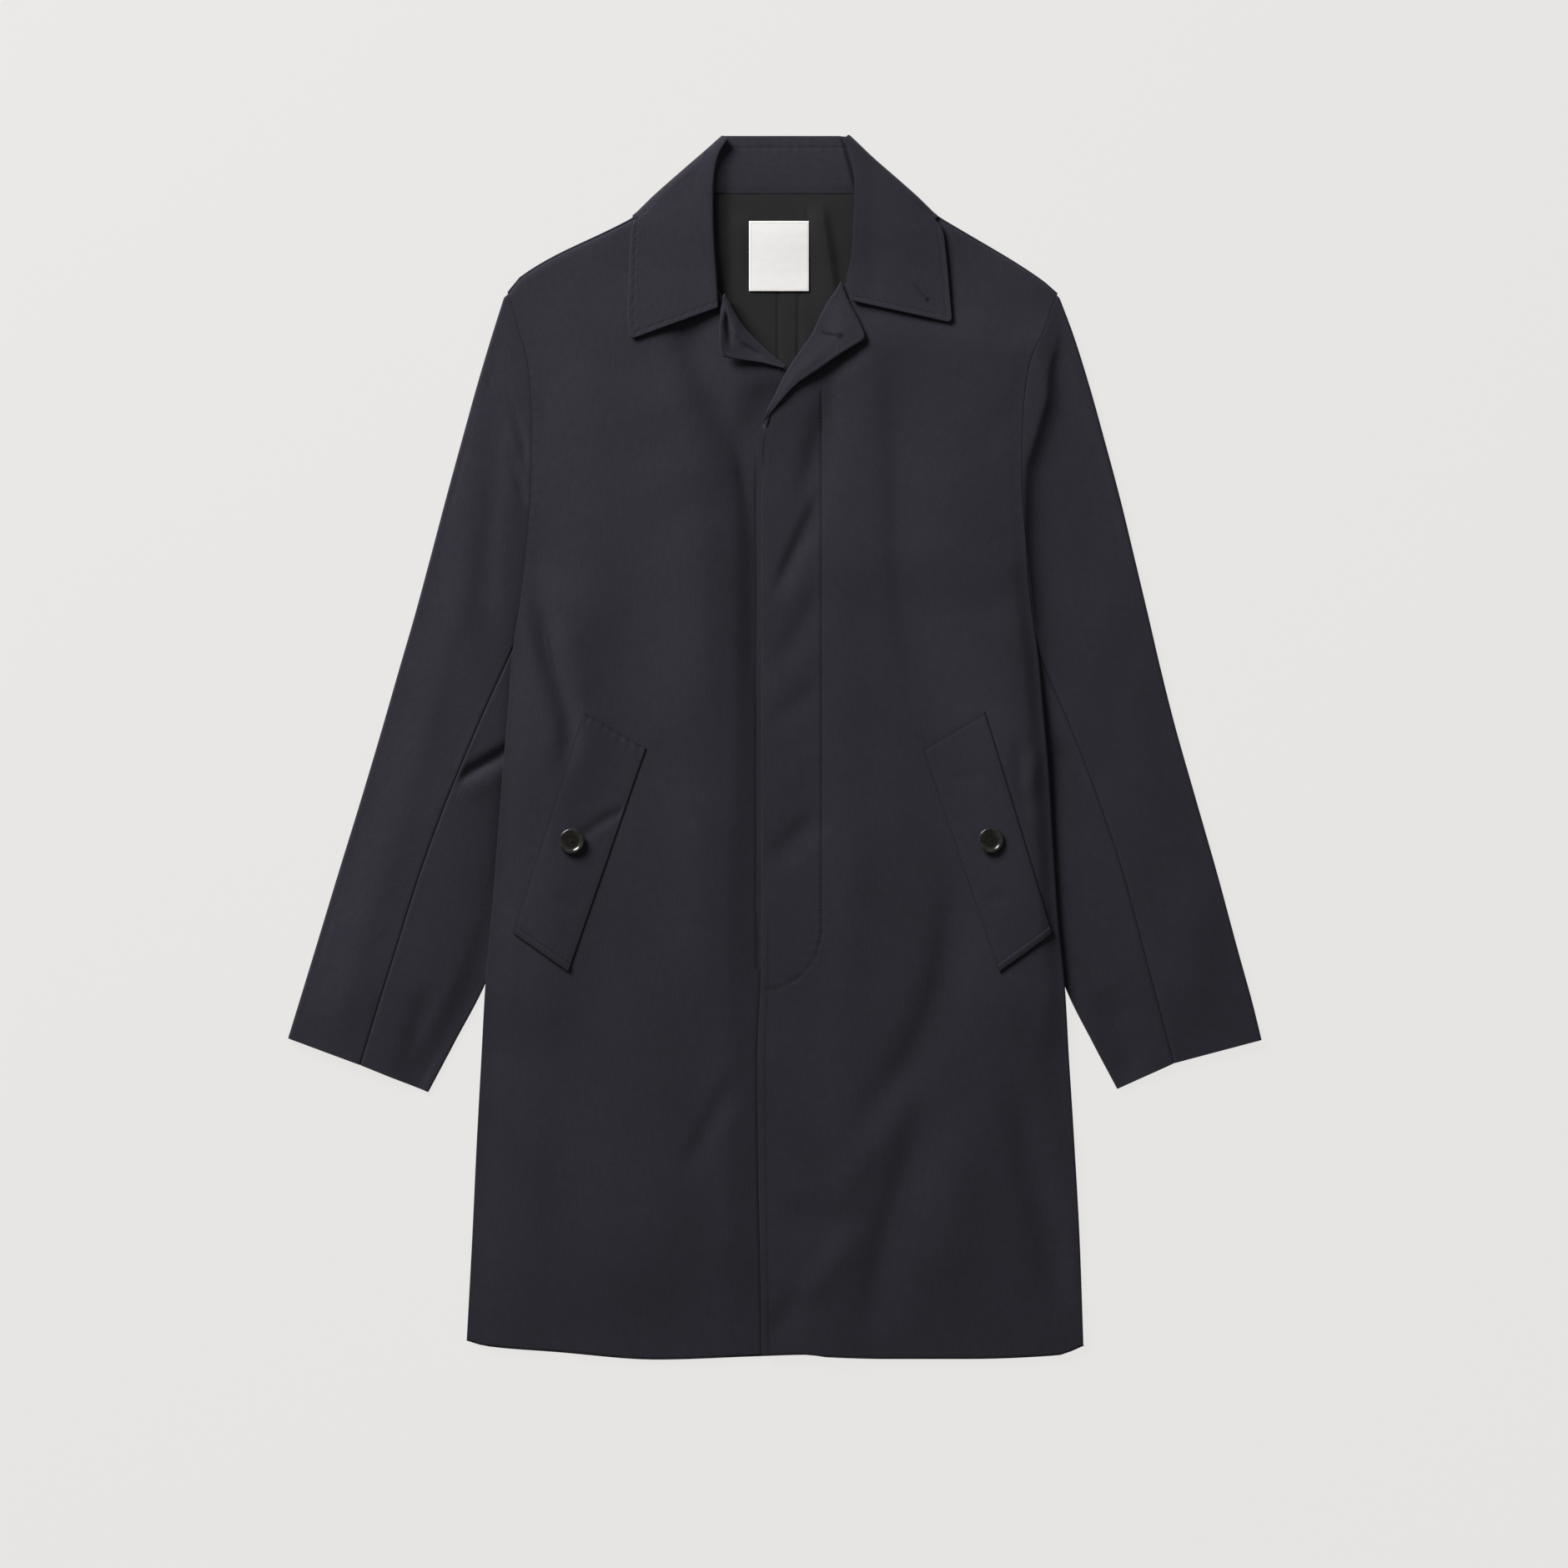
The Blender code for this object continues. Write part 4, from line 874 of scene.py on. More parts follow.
# Painted shade: a thin dark line along the strip's free edge.
seam_shade = 0.5 * seam_shade_line(across, 0.5)[None, :]
fly_strip = sheet_mesh("buttonhole_strip", fly_grid, (70, 10), navy, STRIP_WALL, rubbed, seam_shade)
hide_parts("fly_strip")
print("fly strip", fly_grid.shape[:2], "points, area", round(flat_area(fly_grid), 4))

# %% [markdown]
# ## Sleeves
# Each sleeve has an upper piece, set into the armhole, and an under piece that tucks beneath the side of the
# coat. They meet in a seam down the front of the sleeve. Lying flat, a piece runs over from its seam, round
# the fold and back beneath, so one section of it is a hairpin, and a row of hairpins is the sleeve. The under
# piece goes on below the upper one, as a seam allowance does, so no table shows in the seam.

# %% Sleeve tables and creases
# Row, outer fold x and y, front seam x and y, inner fold x and y, thickness.
# Above row 7 the seam is the armhole.
RIGHT_SLEEVE = [
    (0, -227.6, 377.6, 0, 0, 0, 0, 5.6), (1, -237.0, 348.0, 0, 0, 0, 0, 5.6),
    (2, -249.0, 308.0, 0, 0, 0, 0, 5.6), (3, -262.6, 259.0, 0, 0, 0, 0, 5.6),
    (4, -276.0, 210.0, 0, 0, 0, 0, 5.5), (5, -290.0, 157.0, 0, 0, 0, 0, 5.4),
    (6, -303.0, 109.0, 0, 0, 0, 0, 5.3), (7, -315.2, 67.0, -219.6, 84.0, -189.0, 72.0, 5.2),
    (8, -329.0, 19.0, -248.5, 19.0, -196.0, 16.0, 5.0),
    (9, -348.0, -45.0, -275.1, -45.0, -205.0, -60.0, 5.0),
    (10, -366.8, -106.0, -297.5, -106.0, -220.0, -132.6, 5.0),
    (11, -385.7, -168.4, -318.0, -171.0, -242.0, -196.0, 5.2),
    (12, -400.4, -216.6, -334.6, -223.7, -268.4, -247.0, 5.4),
    (13, -409.0, -244.6, -348.0, -267.0, -291.2, -290.0, 5.6),
]
LEFT_SLEEVE = [
    (0, 239.4, 377.0, 0, 0, 0, 0, 5.6), (1, 251.0, 346.0, 0, 0, 0, 0, 5.6),
    (2, 264.2, 304.0, 0, 0, 0, 0, 5.6), (3, 277.6, 256.0, 0, 0, 0, 0, 5.6),
    (4, 290.4, 208.0, 0, 0, 0, 0, 5.5), (5, 303.2, 155.0, 0, 0, 0, 0, 5.4),
    (6, 314.6, 107.0, 0, 0, 0, 0, 5.3), (7, 324.4, 65.0, 221.0, 79.0, 192.0, 68.0, 5.2),
    (8, 336.0, 19.0, 247.8, 19.0, 199.0, 14.0, 5.0), (9, 354.2, -45.0, 272.3, -45.0, 208.4, -62.6, 5.0),
    (10, 371.7, -106.0, 292.6, -106.0, 222.6, -136.0, 5.0),
    (11, 388.5, -168.4, 310.1, -171.0, 244.0, -202.0, 5.2),
    (12, 401.8, -216.6, 324.1, -223.7, 266.8, -248.0, 5.4),
    (13, 409.0, -246.0, 335.3, -265.6, 287.7, -287.4, 5.6),
]
RIGHT_SLEEVE_CREASES = [
    ([(-226, 348), (-234, 250), (-243, 150), (-240, 50)], 12, 16, -3.0),
    ([(-228, 300), (-219, 282), (-209, 244), (-204, 226)], 4, 5, -1.5),
    ([(-226, 252), (-216, 226), (-208, 196)], 5, 4, -1.1),
    ([(-276, -34), (-250, -18), (-226, -5), (-196, 10)], 5.0, 4.5, -5.0),
    ([(-270, -46), (-248, -33), (-226, -22), (-200, -12)], 7, 9, 1.0),
    ([(-356, -120), (-358, -184), (-350, -250)], 22, 26, 1.4),
    ([(-286, -190), (-300, -246), (-314, -306)], 18, 12, -3.2),
    ([(-246, 340), (-256, 250), (-270, 150)], 16, 14, 0.9),
    ([(-290, 120), (-270, 40), (-284, -40)], 18, 16, -1.0),
]
LEFT_SLEEVE_CREASES = [
    ([(254, 310), (268, 210), (272, 90)], 24, 18, -1.4),
    ([(276, -196), (290, -240), (306, -296)], 14, 16, -2.4),
    ([(272, -34), (252, -12), (228, 6)], 6, 7, -1.4),
    ([(356, -90), (352, -170), (338, -250)], 22, 20, 1.4),
    ([(250, 356), (266, 300), (282, 240)], 11, 13, 0.8),
    ([(300, 110), (286, 30), (300, -50)], 16, 18, -1.0),
]
print(len(RIGHT_SLEEVE_CREASES) + len(LEFT_SLEEVE_CREASES), "sleeve creases")

# %% One section of a sleeve
TUCKED = 3.1
# Height up the coat, and how far from the left armhole the cap of that sleeve folds down.
CAP_FOLD = [
    (67.0, 0.0), (123.0, 0.0), (179.0, 0.5), (235.0, 4.5), (263.0, 12.5), (291.0, 19.0),
    (333.0, 17.0), (365.0, 8.0), (380.0, 4.0),
]


def sleeve_height(side, x, y, out, thick, arch):
    """Top of a sleeve: low under the body, arched over the air inside, and down to its outer fold."""
    if side == "right":
        t = np.clip((edge_x("right", y) - x) / 56.0, 0.0, 1.0)
        seam = TUCKED + bunch(y) + 2.1 * ease((y - 100.0) / 230.0) - 1.2 * ease((60.0 - y) / 60.0)
        height = seam + (TUCKED + arch - seam) * (t * (2.0 - t)) ** (0.75 + 0.5 * ease((y - 60.0) / 80.0))
    else:
        away = x - edge_x("left", y)
        past = away - np.interp(y, column(CAP_FOLD, 0), column(CAP_FOLD, 1))
        beyond = (past + np.hypot(past, 1.6)) / 2.0
        shoulder = ease((y - 30.0) / 110.0) * (4.4 * np.exp(-beyond / 3.8) + 4.6 * np.exp(-beyond / 13.0))
        height = TUCKED + 0.3 + arch * ease((past - 8.0) / 84.0) + shoulder
    return thick + (height - thick) * ease(out / 42.0)


def hairpin(side, seam, fold, thick, arch, beyond, creases):
    """Over from the seam, round the fold and back; beyond is how far the sleeve goes on after it."""
    span = np.hypot(*(fold - seam))
    along = (fold - seam) / span
    radius = thick / 2.0
    reach = span - radius
    close = min(4.4, 0.5 * reach)
    s = np.array([close * t for t in (0.0, 0.03, 0.11, 0.23, 0.41, 0.64, 1.0)] + spread(close, reach, 36))
    allowance = [-5.0, -2.5, -0.1] if beyond > 0.0 else []
    x, y = seam[0] + along[0] * s, seam[1] + along[1] * s
    height = sleeve_height(side, x, y, reach - s + beyond, thick, arch)
    if beyond > 0.0:
        turn_down = 26.0 if side == "right" else 12.0
        height = height + (thick - height) * ease((s - reach + turn_down) / turn_down)
    height = height - (0.5 if seam[1] > 84.0 else 1.6) * SEAM_DIP * roll_drop(s, ROLL)
    shown = ease(s / 7.0) * ease((reach - s) / 9.0)
    height = height + (crease_height(creases, x, y) + 0.7 * ripple(x * 1.3, y * 1.3 + 40.0)) * shown
    turn = np.radians([72.0, 48.0, 24.0, 0.0, -24.0, -48.0, -72.0])
    back = np.array([reach] + spread(reach, 0.0, 6))
    run = np.concatenate([allowance, s, reach + radius * np.cos(turn), back])
    height = np.maximum(height, WALL + 0.2)
    tucked = [max(height[0] - 1.55, WALL + 0.05)] * len(allowance)
    z = np.concatenate([tucked, height, radius + radius * np.sin(turn), np.full(len(back), 0.0)])
    return np.column_stack([seam + along * run[:, None], z])


def sleeve_pieces(side, table, arch, creases):
    """The upper and under pieces of one sleeve."""
    knots = column(table, 0)
    rows = np.concatenate([[0.0, 0.02, 0.06], spread(0.06, 12.9, 260), [12.95, 12.985, 13.0]])
    outer = np.stack([through(knots, column(table, k), rows) for k in (1, 2)], axis=-1)
    rounded = np.sqrt(1.0 - np.maximum(1.0 - rows / 0.1, 0.0) ** 2)
    thick = through(knots, column(table, 7), rows) * (0.5 + 0.5 * rounded)
    low = table[ARMHOLE_ROWS:]
    below = rows >= ARMHOLE_ROWS
    lower = [through(knots[ARMHOLE_ROWS:], column(low, k), rows[below]) for k in (3, 4, 5, 6)]
    front_seam = np.stack(lower[:2], axis=-1)
    inner = np.stack(lower[2:], axis=-1)
    seam = np.concatenate([edge_points(side, rows[~below]), front_seam])
    aside = np.array([-0.05 if side == "right" else 0.05, 0.0])
    arches = arch * (1.0 - 0.45 * ease((rows - 11.4) / 1.6))
    first = len(rows) - len(front_seam)
    top, under = [], []
    for i in range(len(rows)):
        top.append(hairpin(side, seam[i] + aside, outer[i], thick[i], arches[i], 0.0, creases))
    for row in (5.0, 5.5, 6.0, 6.4, 6.7, 6.9):
        edge, start = edge_points(side, np.array([row]))[0], edge_points(side, np.array([7.0]))[0]
        section = hairpin(side, edge + 72.0 * aside, inner[0] + edge - start, TUCKED, 0.0, 60.0, [])
        section[:, 2] = np.minimum(section[:, 2], 1.7)
        under.append(section)
    for k in range(len(front_seam)):
        under.append(hairpin(side, front_seam[k], inner[k], TUCKED, arches[first + k], 60.0, creases))
    return np.array(top), np.array(under)


sleeve_sides = [
    ("right", RIGHT_SLEEVE, 6.8, RIGHT_SLEEVE_CREASES),
    ("left", LEFT_SLEEVE, 3.2, LEFT_SLEEVE_CREASES),
]
for side, table_of, arch, creases in sleeve_sides:
    top, under = sleeve_pieces(side, table_of, arch, creases)
    turned_under = np.arange(top.shape[1]) > 30
    from_seam = np.hypot(*(top[:, :, :2] - top[:, :1, :2]).transpose(2, 0, 1)) + 9.0 * turned_under
    up = top[:, :1, 1]
    # Painted shade: a dark line along the front seam, and on the left sleeve a wider dark band beside the
    # armhole.
    seam_shade = 0.6 * seam_shade_line(from_seam) * ease((100.0 - up) / 20.0)
    if side == "left":
        shade = ease((up - 84.0) / 30.0) * ease((260.0 - up) / 50.0)
        seam_shade = np.maximum(seam_shade, 0.75 * seam_shade_line(from_seam, 3.2) * shade)
    upper = sheet_mesh(side + "_upper_sleeve", top, (160, 20), navy, WALL, seam=seam_shade)
    lower = sheet_mesh(side + "_under_sleeve", under, (80, 20), navy, WALL)
    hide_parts("sleeve_top_" + side)
    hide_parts("sleeve_under_" + side)
    areas = [round(flat_area(grid), 4) for grid in (top, under)]
    print(side, "sleeve", top.shape[:2], under.shape[:2], "areas", areas)

# %% [markdown]
# ## Neck lining and label
# Inside the neck the lining lies on the back, caught in a seam to the collar stand and pleated by the fold
# of the coat. The label is a bare woven tape tacked to it. The pleats are narrow creases, and the label
# follows the lining's height.

# %% Lining
# y, right x, left x.
LINING = [
    (470.0, -62.0, 78.0), (464.0, -62.0, 78.0), (430.0, -64.0, 80.0), (390.0, -58.0, 72.0),
    (350.0, -44.0, 54.0), (318.0, -22.0, 34.0), (300.0, -8.0, 22.0),
]
LINING_CREASES = [
    ([(26.6, 480.0), (27.0, 454.0), (27.4, 430.0)], 5.0, 2.0, -0.7),
    ([(30.0, 530.0), (37.5, 460.0), (46.5, 400.0), (55.0, 340.0)], 5.4, 13.0, 2.7),
    ([(2.4, 398.0), (2.4, 352.0), (2.8, 306.0)], 4.0, 1.4, -0.6),
    ([(19.8, 400.0), (19.4, 356.0), (18.6, 308.0)], 4.0, 1.4, -0.6),
    ([(-30.0, 462.0), (-28.0, 420.0), (-30.0, 370.0)], 7.0, 8.0, 0.5),
]


def lining_height(x, y):
    """The lining, on the back panel."""
    beside = 4.0 * (1.0 - ease((x + 55.0) / 19.0)) * ease((y - 372.0) / 30.0)
    return tuck_lift(x, y) + leaf_rise(x, y) + WALL + GAP + 1.2 + 0.15 * ripple(2.0 * x, 2.0 * y) + beside


rows = np.linspace(470.0, 300.0, 114)
right_x = through(-column(LINING, 0), column(LINING, 1), -rows)
left_x = through(-column(LINING, 0), column(LINING, 2), -rows)
share = np.linspace(0.0, 1.0, 200)
x = right_x[:, None] + (left_x - right_x)[:, None] * share
y = np.repeat(rows[:, None], len(share), axis=1)
pleats = crease_height(LINING_CREASES, x, y) * (1.0 - ease((y - 440.0) / 22.0))
z = lining_height(x, y) + pleats - 0.15 * ease((y - 458.0) / 8.0)
lining_grid = np.stack([x, y, z], axis=-1)
neck_lining = sheet_mesh("neck_lining", lining_grid, (50, 50), charcoal, 1.0)
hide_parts("lining_back")
print("lining", lining_grid.shape[:2], "points, area", round(flat_area(lining_grid), 4))

# %% Label
LABEL_CORNER = (-21.7, 382.6)
LABEL_SIZE = (50.4, 58.8)
u = np.array([0.0, 0.004, 0.012, 0.025] + spread(0.025, 0.975, 30) + [0.988, 0.996, 1.0])
v = u[::-1]
x, y = np.meshgrid(LABEL_CORNER[0] + LABEL_SIZE[0] * u, LABEL_CORNER[1] + LABEL_SIZE[1] * v)
near_side = np.minimum(u, 1.0 - u)[None, :] * LABEL_SIZE[0]
near_end = np.minimum(v, 1.0 - v)[:, None] * LABEL_SIZE[1]
near = np.minimum(near_side, near_end)
bow = 0.35 * np.sin(np.pi * u)[None, :] * np.sin(2.6 * v)[:, None]
z = lining_height(x, y) + 1.7 + bow - 0.5 * roll_drop(near, 0.8)
label_grid = np.stack([x, y, z], axis=-1)
label = sheet_mesh("blank_label", label_grid, (15, 15), tape, 0.8)
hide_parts("label")
print("label", LABEL_SIZE, "mm, area", round(flat_area(label_grid), 5))

# %% [markdown]
# ## Collar
# The collar is a stand, which rises from the neck seam inside, and a leaf that turns down over it. Laid out,
# the leaf's ends lie on the fronts and its middle is folded beneath the back of the neck. Its free edges are
# two layers turned and pressed, so they are rounded, with a row of stitches sunk 5 mm in. The tips are
# rounded by squeezing the corner of the grid into a quarter disc.

# %% Collar leaf
# Roll line x, y, outer edge x, y, from the front edge up to the fold over the shoulder.
RIGHT_LEAF = [
    (-47.2, 367.9, -121.8, 341.3), (-48.6, 392.0, -123.6, 362.0), (-50.4, 417.0, -123.0, 390.0),
    (-51.6, 445.0, -122.2, 418.0), (-51.8, 466.0, -121.6, 436.0), (-50.0, 489.0, -121.4, 443.6),
    (-43.6, 513.5, -121.2, 447.4),
]
LEFT_LEAF = [
    (64.4, 373.5, 149.1, 355.3), (60.4, 391.0, 147.6, 375.0), (64.6, 411.0, 146.2, 395.0),
    (66.4, 440.0, 144.4, 417.0), (67.4, 466.0, 142.9, 436.0), (66.6, 489.0, 141.0, 444.2),
    (62.0, 513.5, 139.4, 447.4),
]
LEAF_WALL = 2.2
COLLAR_ROLL = 1.8
COLLAR_TOP = 513.5
TIP_ROUND = 5.0
STITCH_IN = 5.0
LEAF_STEPS = [0.0, 0.03, 0.2, 0.45, 0.8, 1.25, COLLAR_ROLL]
EDGE_STEPS = [8.0, 7.0, 6.2, 5.6, 5.2, 4.8, 4.4, 3.8, 3.0, 2.2, 1.4, 0.8, 0.35, 0.1, 0.0]


def leaf_flap(table, base, roll):
    """One end of the leaf, each point's distance from its edge and its roll, and the way its fold faces."""
    knots = np.arange(len(table))
    fine = np.linspace(0.0, len(table) - 1.0, 400)
    lines = [through(knots, column(table, k), fine) for k in range(4)]
    middle = np.stack([(lines[0] + lines[2]) / 2.0, (lines[1] + lines[3]) / 2.0])
    run = np.concatenate([[0.0], np.cumsum(np.hypot(*np.diff(middle, axis=1)))])
    along = np.array(EDGE_STEPS[::-1] + spread(8.0, run[-1], 52))
    row_of = np.interp(along, run, fine)
    reach = [through(knots, column(table, k), row_of) for k in range(4)]
    span = np.hypot(reach[2] - reach[0], reach[3] - reach[1])
    inside = []
    for w in span:
        inside.append(LEAF_STEPS + spread(COLLAR_ROLL, w - 8.0, 30)[:-1] + [w - s for s in EDGE_STEPS])
    inside = np.array(inside)
    du = span[:, None] - inside
    dv = np.repeat(along[:, None], inside.shape[1], axis=1)
    near = np.minimum(du, dv)
    corner = (du < TIP_ROUND) & (dv < TIP_ROUND)
    pu, pv = TIP_ROUND - du, TIP_ROUND - dv
    squeeze = np.where(corner, np.maximum(pu, pv) / np.maximum(np.hypot(pu, pv), 1e-6), 1.0)
    du = np.where(corner, TIP_ROUND - pu * squeeze, du)
    dv = np.where(corner, TIP_ROUND - pv * squeeze, dv)
    row = np.interp(dv, run, fine)
    ends = [through(knots, column(table, k), row) for k in range(4)]
    share = 1.0 - du / np.hypot(ends[2] - ends[0], ends[3] - ends[1])
    x = ends[0] + (ends[2] - ends[0]) * share
    y = ends[1] + (ends[3] - ends[1]) * share
    bow = 1.5 * np.exp(-((inside / 18.0) ** 2)) + 0.9 * np.sin(np.pi * np.clip(share, 0.0, 1.0))
    bow = bow + 0.4 * np.exp(-near / 12.0) * ease((run[-1] - dv) / 30.0)
    bow = bow - 0.20 * np.exp(-((near - STITCH_IN) ** 2)) + 0.5 * pucker(inside + dv, near - STITCH_IN)
    bow = bow + GAP + LEAF_WALL + 0.8 - roll_drop(inside, roll) - 0.9 * roll_drop(near, 0.9)
    bow = bow - 1.1 * ease((26.0 - du) / 20.0) * ease((24.0 - run[-1] + dv) / 20.0)
    line = np.array([x[-1, -1] - x[-1, 0], y[-1, -1] - y[-1, 0]])
    line = line / np.hypot(*line)
    outward = np.array([math.copysign(abs(line[1]), line[0]), abs(line[0])])
    radius = (base(x[-1], y[-1]) + bow[-1] - roll_drop(inside[-1], roll)) / 2.0
    clear = (x[-1, 0] - x) * outward[0] + (y[-1, 0] - y) * outward[1]
    shift = np.hypot(clear, radius.max()) - clear
    x, y = x - outward[0] * shift, y - outward[1] * shift
    z = base(x, y) + bow + 0.5 * ripple(1.7 * x, 1.7 * y)
    return np.stack([x, y, z], axis=-1), near, inside, outward


def leaf_fold(edge, inside, outward):
    """Sections round the fold from over the shoulder to beneath the back."""
    low = roll_drop(inside, COLLAR_ROLL)
    middle = (edge[:, 2] + low) / 2.0
    radius = (edge[:, 2] - low) / 2.0
    sections = []
    for angle in np.radians(np.linspace(90.0, -90.0, 15)):
        out = radius * math.cos(angle)
        place = edge[:, :2] + outward * out[:, None]
        sections.append(np.column_stack([place, middle + radius * math.sin(angle)]))
    return np.array(sections)


ends = []
for table_of, base, roll in ((RIGHT_LEAF, right_base, COLLAR_ROLL), (LEFT_LEAF, left_base, 0.25)):
    flap, near, inside, outward = leaf_flap(table_of, base, roll)
    fold = leaf_fold(flap[-1], inside[-1], outward)
    marks = np.concatenate([worn(near[:-1]), np.repeat(worn(near[-1:]), len(fold), axis=0)])
    ends.append((np.concatenate([flap[:-1], fold]), marks))
(right_end, right_marks), (left_end, left_marks) = ends
beneath = []
for t in spread(0.0, 1.0, 16)[:-1]:
    section = right_end[-1] + (left_end[-1] - right_end[-1]) * t
    run = np.concatenate([[0.0], np.cumsum(np.hypot(*np.diff(section[:, :2], axis=0).T))])
    sag = 4.0 * t * (1.0 - t) * run / run[-1]
    section[:, 1] += sag * (449.0 - section[-1, 1])
    raised = section[:7, 1] + 6.0 * min(1.0, 8.0 * t * (1.0 - t))
    section[:7, 1] = np.minimum(raised, COLLAR_TOP - np.array(LEAF_STEPS))
    beneath.append(section)
leaf_grid = np.concatenate([right_end, np.array(beneath), left_end[::-1]])
leaf_marks = np.concatenate([right_marks, np.zeros((len(beneath), right_marks.shape[1])), left_marks[::-1]])
collar_leaf = sheet_mesh("turned_collar", leaf_grid, (20, 25), navy, LEAF_WALL, leaf_marks)
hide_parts("collar_leaf")
print("collar leaf", leaf_grid.shape[:2], "points, area", round(flat_area(leaf_grid), 4))

# %% Collar stand
STAND_TOP = 513.2
NECK_SEAM = 464.6
STAND_ENDS = (-60.0, 78.0)
LEAF_CORNERS = (-43.6, 62.0)
STAND_HEIGHT = 5.6
STAND_STITCH = 10.2
x_at = np.linspace(*STAND_ENDS, 150)
slope = np.maximum(np.maximum(LEAF_CORNERS[0] - x_at, x_at - LEAF_CORNERS[1]), 0.0)
top_y = STAND_TOP - 0.852 * slope - 2.0 * ease(slope / 6.0)
near_top = [0.0, 0.004, 0.012, 0.024, 0.045, 0.07]
share = np.array(near_top + spread(0.07, 0.95, 40) + [0.968, 0.982, 0.992, 1.0])
x = np.repeat(x_at[:, None], len(share), axis=1)
y = top_y[:, None] + (NECK_SEAM - top_y)[:, None] * share
down = STAND_TOP - y
z = STAND_HEIGHT + np.sin(np.pi * np.clip(down / 48.6, 0.0, 1.0)) - 0.9 * roll_drop(top_y[:, None] - y, 1.8)
z = z - 0.45 * np.exp(-((down - STAND_STITCH) ** 2)) + 0.4 * pucker(x, down - STAND_STITCH)
z = z - 0.1 * roll_drop(y - NECK_SEAM, 0.8)
z = z - 2.4 * ease((x - 53.0 - 0.28 * down) / 5.0)
z = z + 6.0 * (1.0 - ease((x + 57.0) / 20.0)) * ease((down + 2.0) / 16.0)
z = z - 0.45 * (1.0 - ease((y - NECK_SEAM) / 7.0))
z = z + 0.6 * ripple(1.9 * x + 20.0, 2.4 * y) * ease((y - NECK_SEAM) / 14.0)
stand_grid = np.stack([x, y, z], axis=-1)
collar_stand = sheet_mesh("inner_stand", stand_grid, (75, 20), navy, WALL, 0.5 * worn(top_y[:, None] - y))
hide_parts("collar_stand")
print("collar stand", stand_grid.shape[:2], "points, area", round(flat_area(stand_grid), 4))

# %% [markdown]
# ## Lapels
# Above the top button the front edges fall open and turn back as small lapels, which show the facing. The one
# on the right of the picture springs up at its tip and throws a dark shadow, and the other is crumpled where
# the collar pulls it up. A section goes from a short arm inside the front, round the roll and out to the
# turned edge.

# %% Lapels
# Roll line x, y, turned edge x, y, how far the edge stands off the front, and the lift of the whole section.
LEFT_LAPEL = [
    (55.2, 390.0, 62.4, 372.6, 1.6, 0.0), (51.0, 383.0, 69.0, 359.0, 3.2, 0.0),
    (44.1, 372.8, 75.6, 342.6, 4.2, 0.0), (37.5, 360.0, 64.0, 333.6, 4.4, 0.0),
    (31.5, 346.9, 53.2, 327.0, 4.2, 0.0), (22.4, 333.6, 38.0, 316.5, 3.9, 0.0),
    (9.1, 313.3, 19.0, 303.6, 3.5, 0.0), (1.0, 297.0, 7.0, 291.4, 2.8, 0.0),
    (-9.8, 273.0, -8.0, 271.4, 1.2, -1.2), (-9.0, 267.0, -7.6, 265.8, 1.2, -5.0),
]
RIGHT_LAPEL = [
    (-41.6, 379.6, -45.2, 366.4, 2.2, 6.0), (-36.6, 370.0, -46.0, 352.0, 3.0, 6.6),
    (-30.6, 359.0, -46.2, 337.0, 3.4, 6.0), (-25.2, 351.1, -43.2, 326.4, 3.8, 4.4),
    (-15.0, 340.0, -29.0, 323.6, 4.0, 2.4), (-4.6, 330.4, -13.0, 321.6, 3.8, 1.0),
    (3.4, 323.8, -2.4, 319.4, 3.4, 0.4), (9.6, 319.2, 7.0, 317.0, 3.0, 0.0),
]
LAPEL_CRUMPLES = [
    ([(-43, 370), (-45, 350), (-42, 330)], 2.6, 3.0, 0.8),
    ([(-36, 376), (-39.5, 354), (-36, 332)], 3.6, 2.2, -3.0),
    ([(-38, 352), (-28, 344), (-14, 334)], 3.0, 3.2, 2.2),
    ([(-33, 366), (-22, 351), (-6, 335)], 4.0, 4.6, -3.4),
    ([(-30, 338), (-20, 332), (-8, 325)], 2.4, 3.0, -1.2),
    ([(52, 376), (56, 356), (60, 340)], 6.0, 7.0, 0.5),
    ([(42, 356), (46, 340), (50, 326)], 5.0, 6.0, -0.5),
]


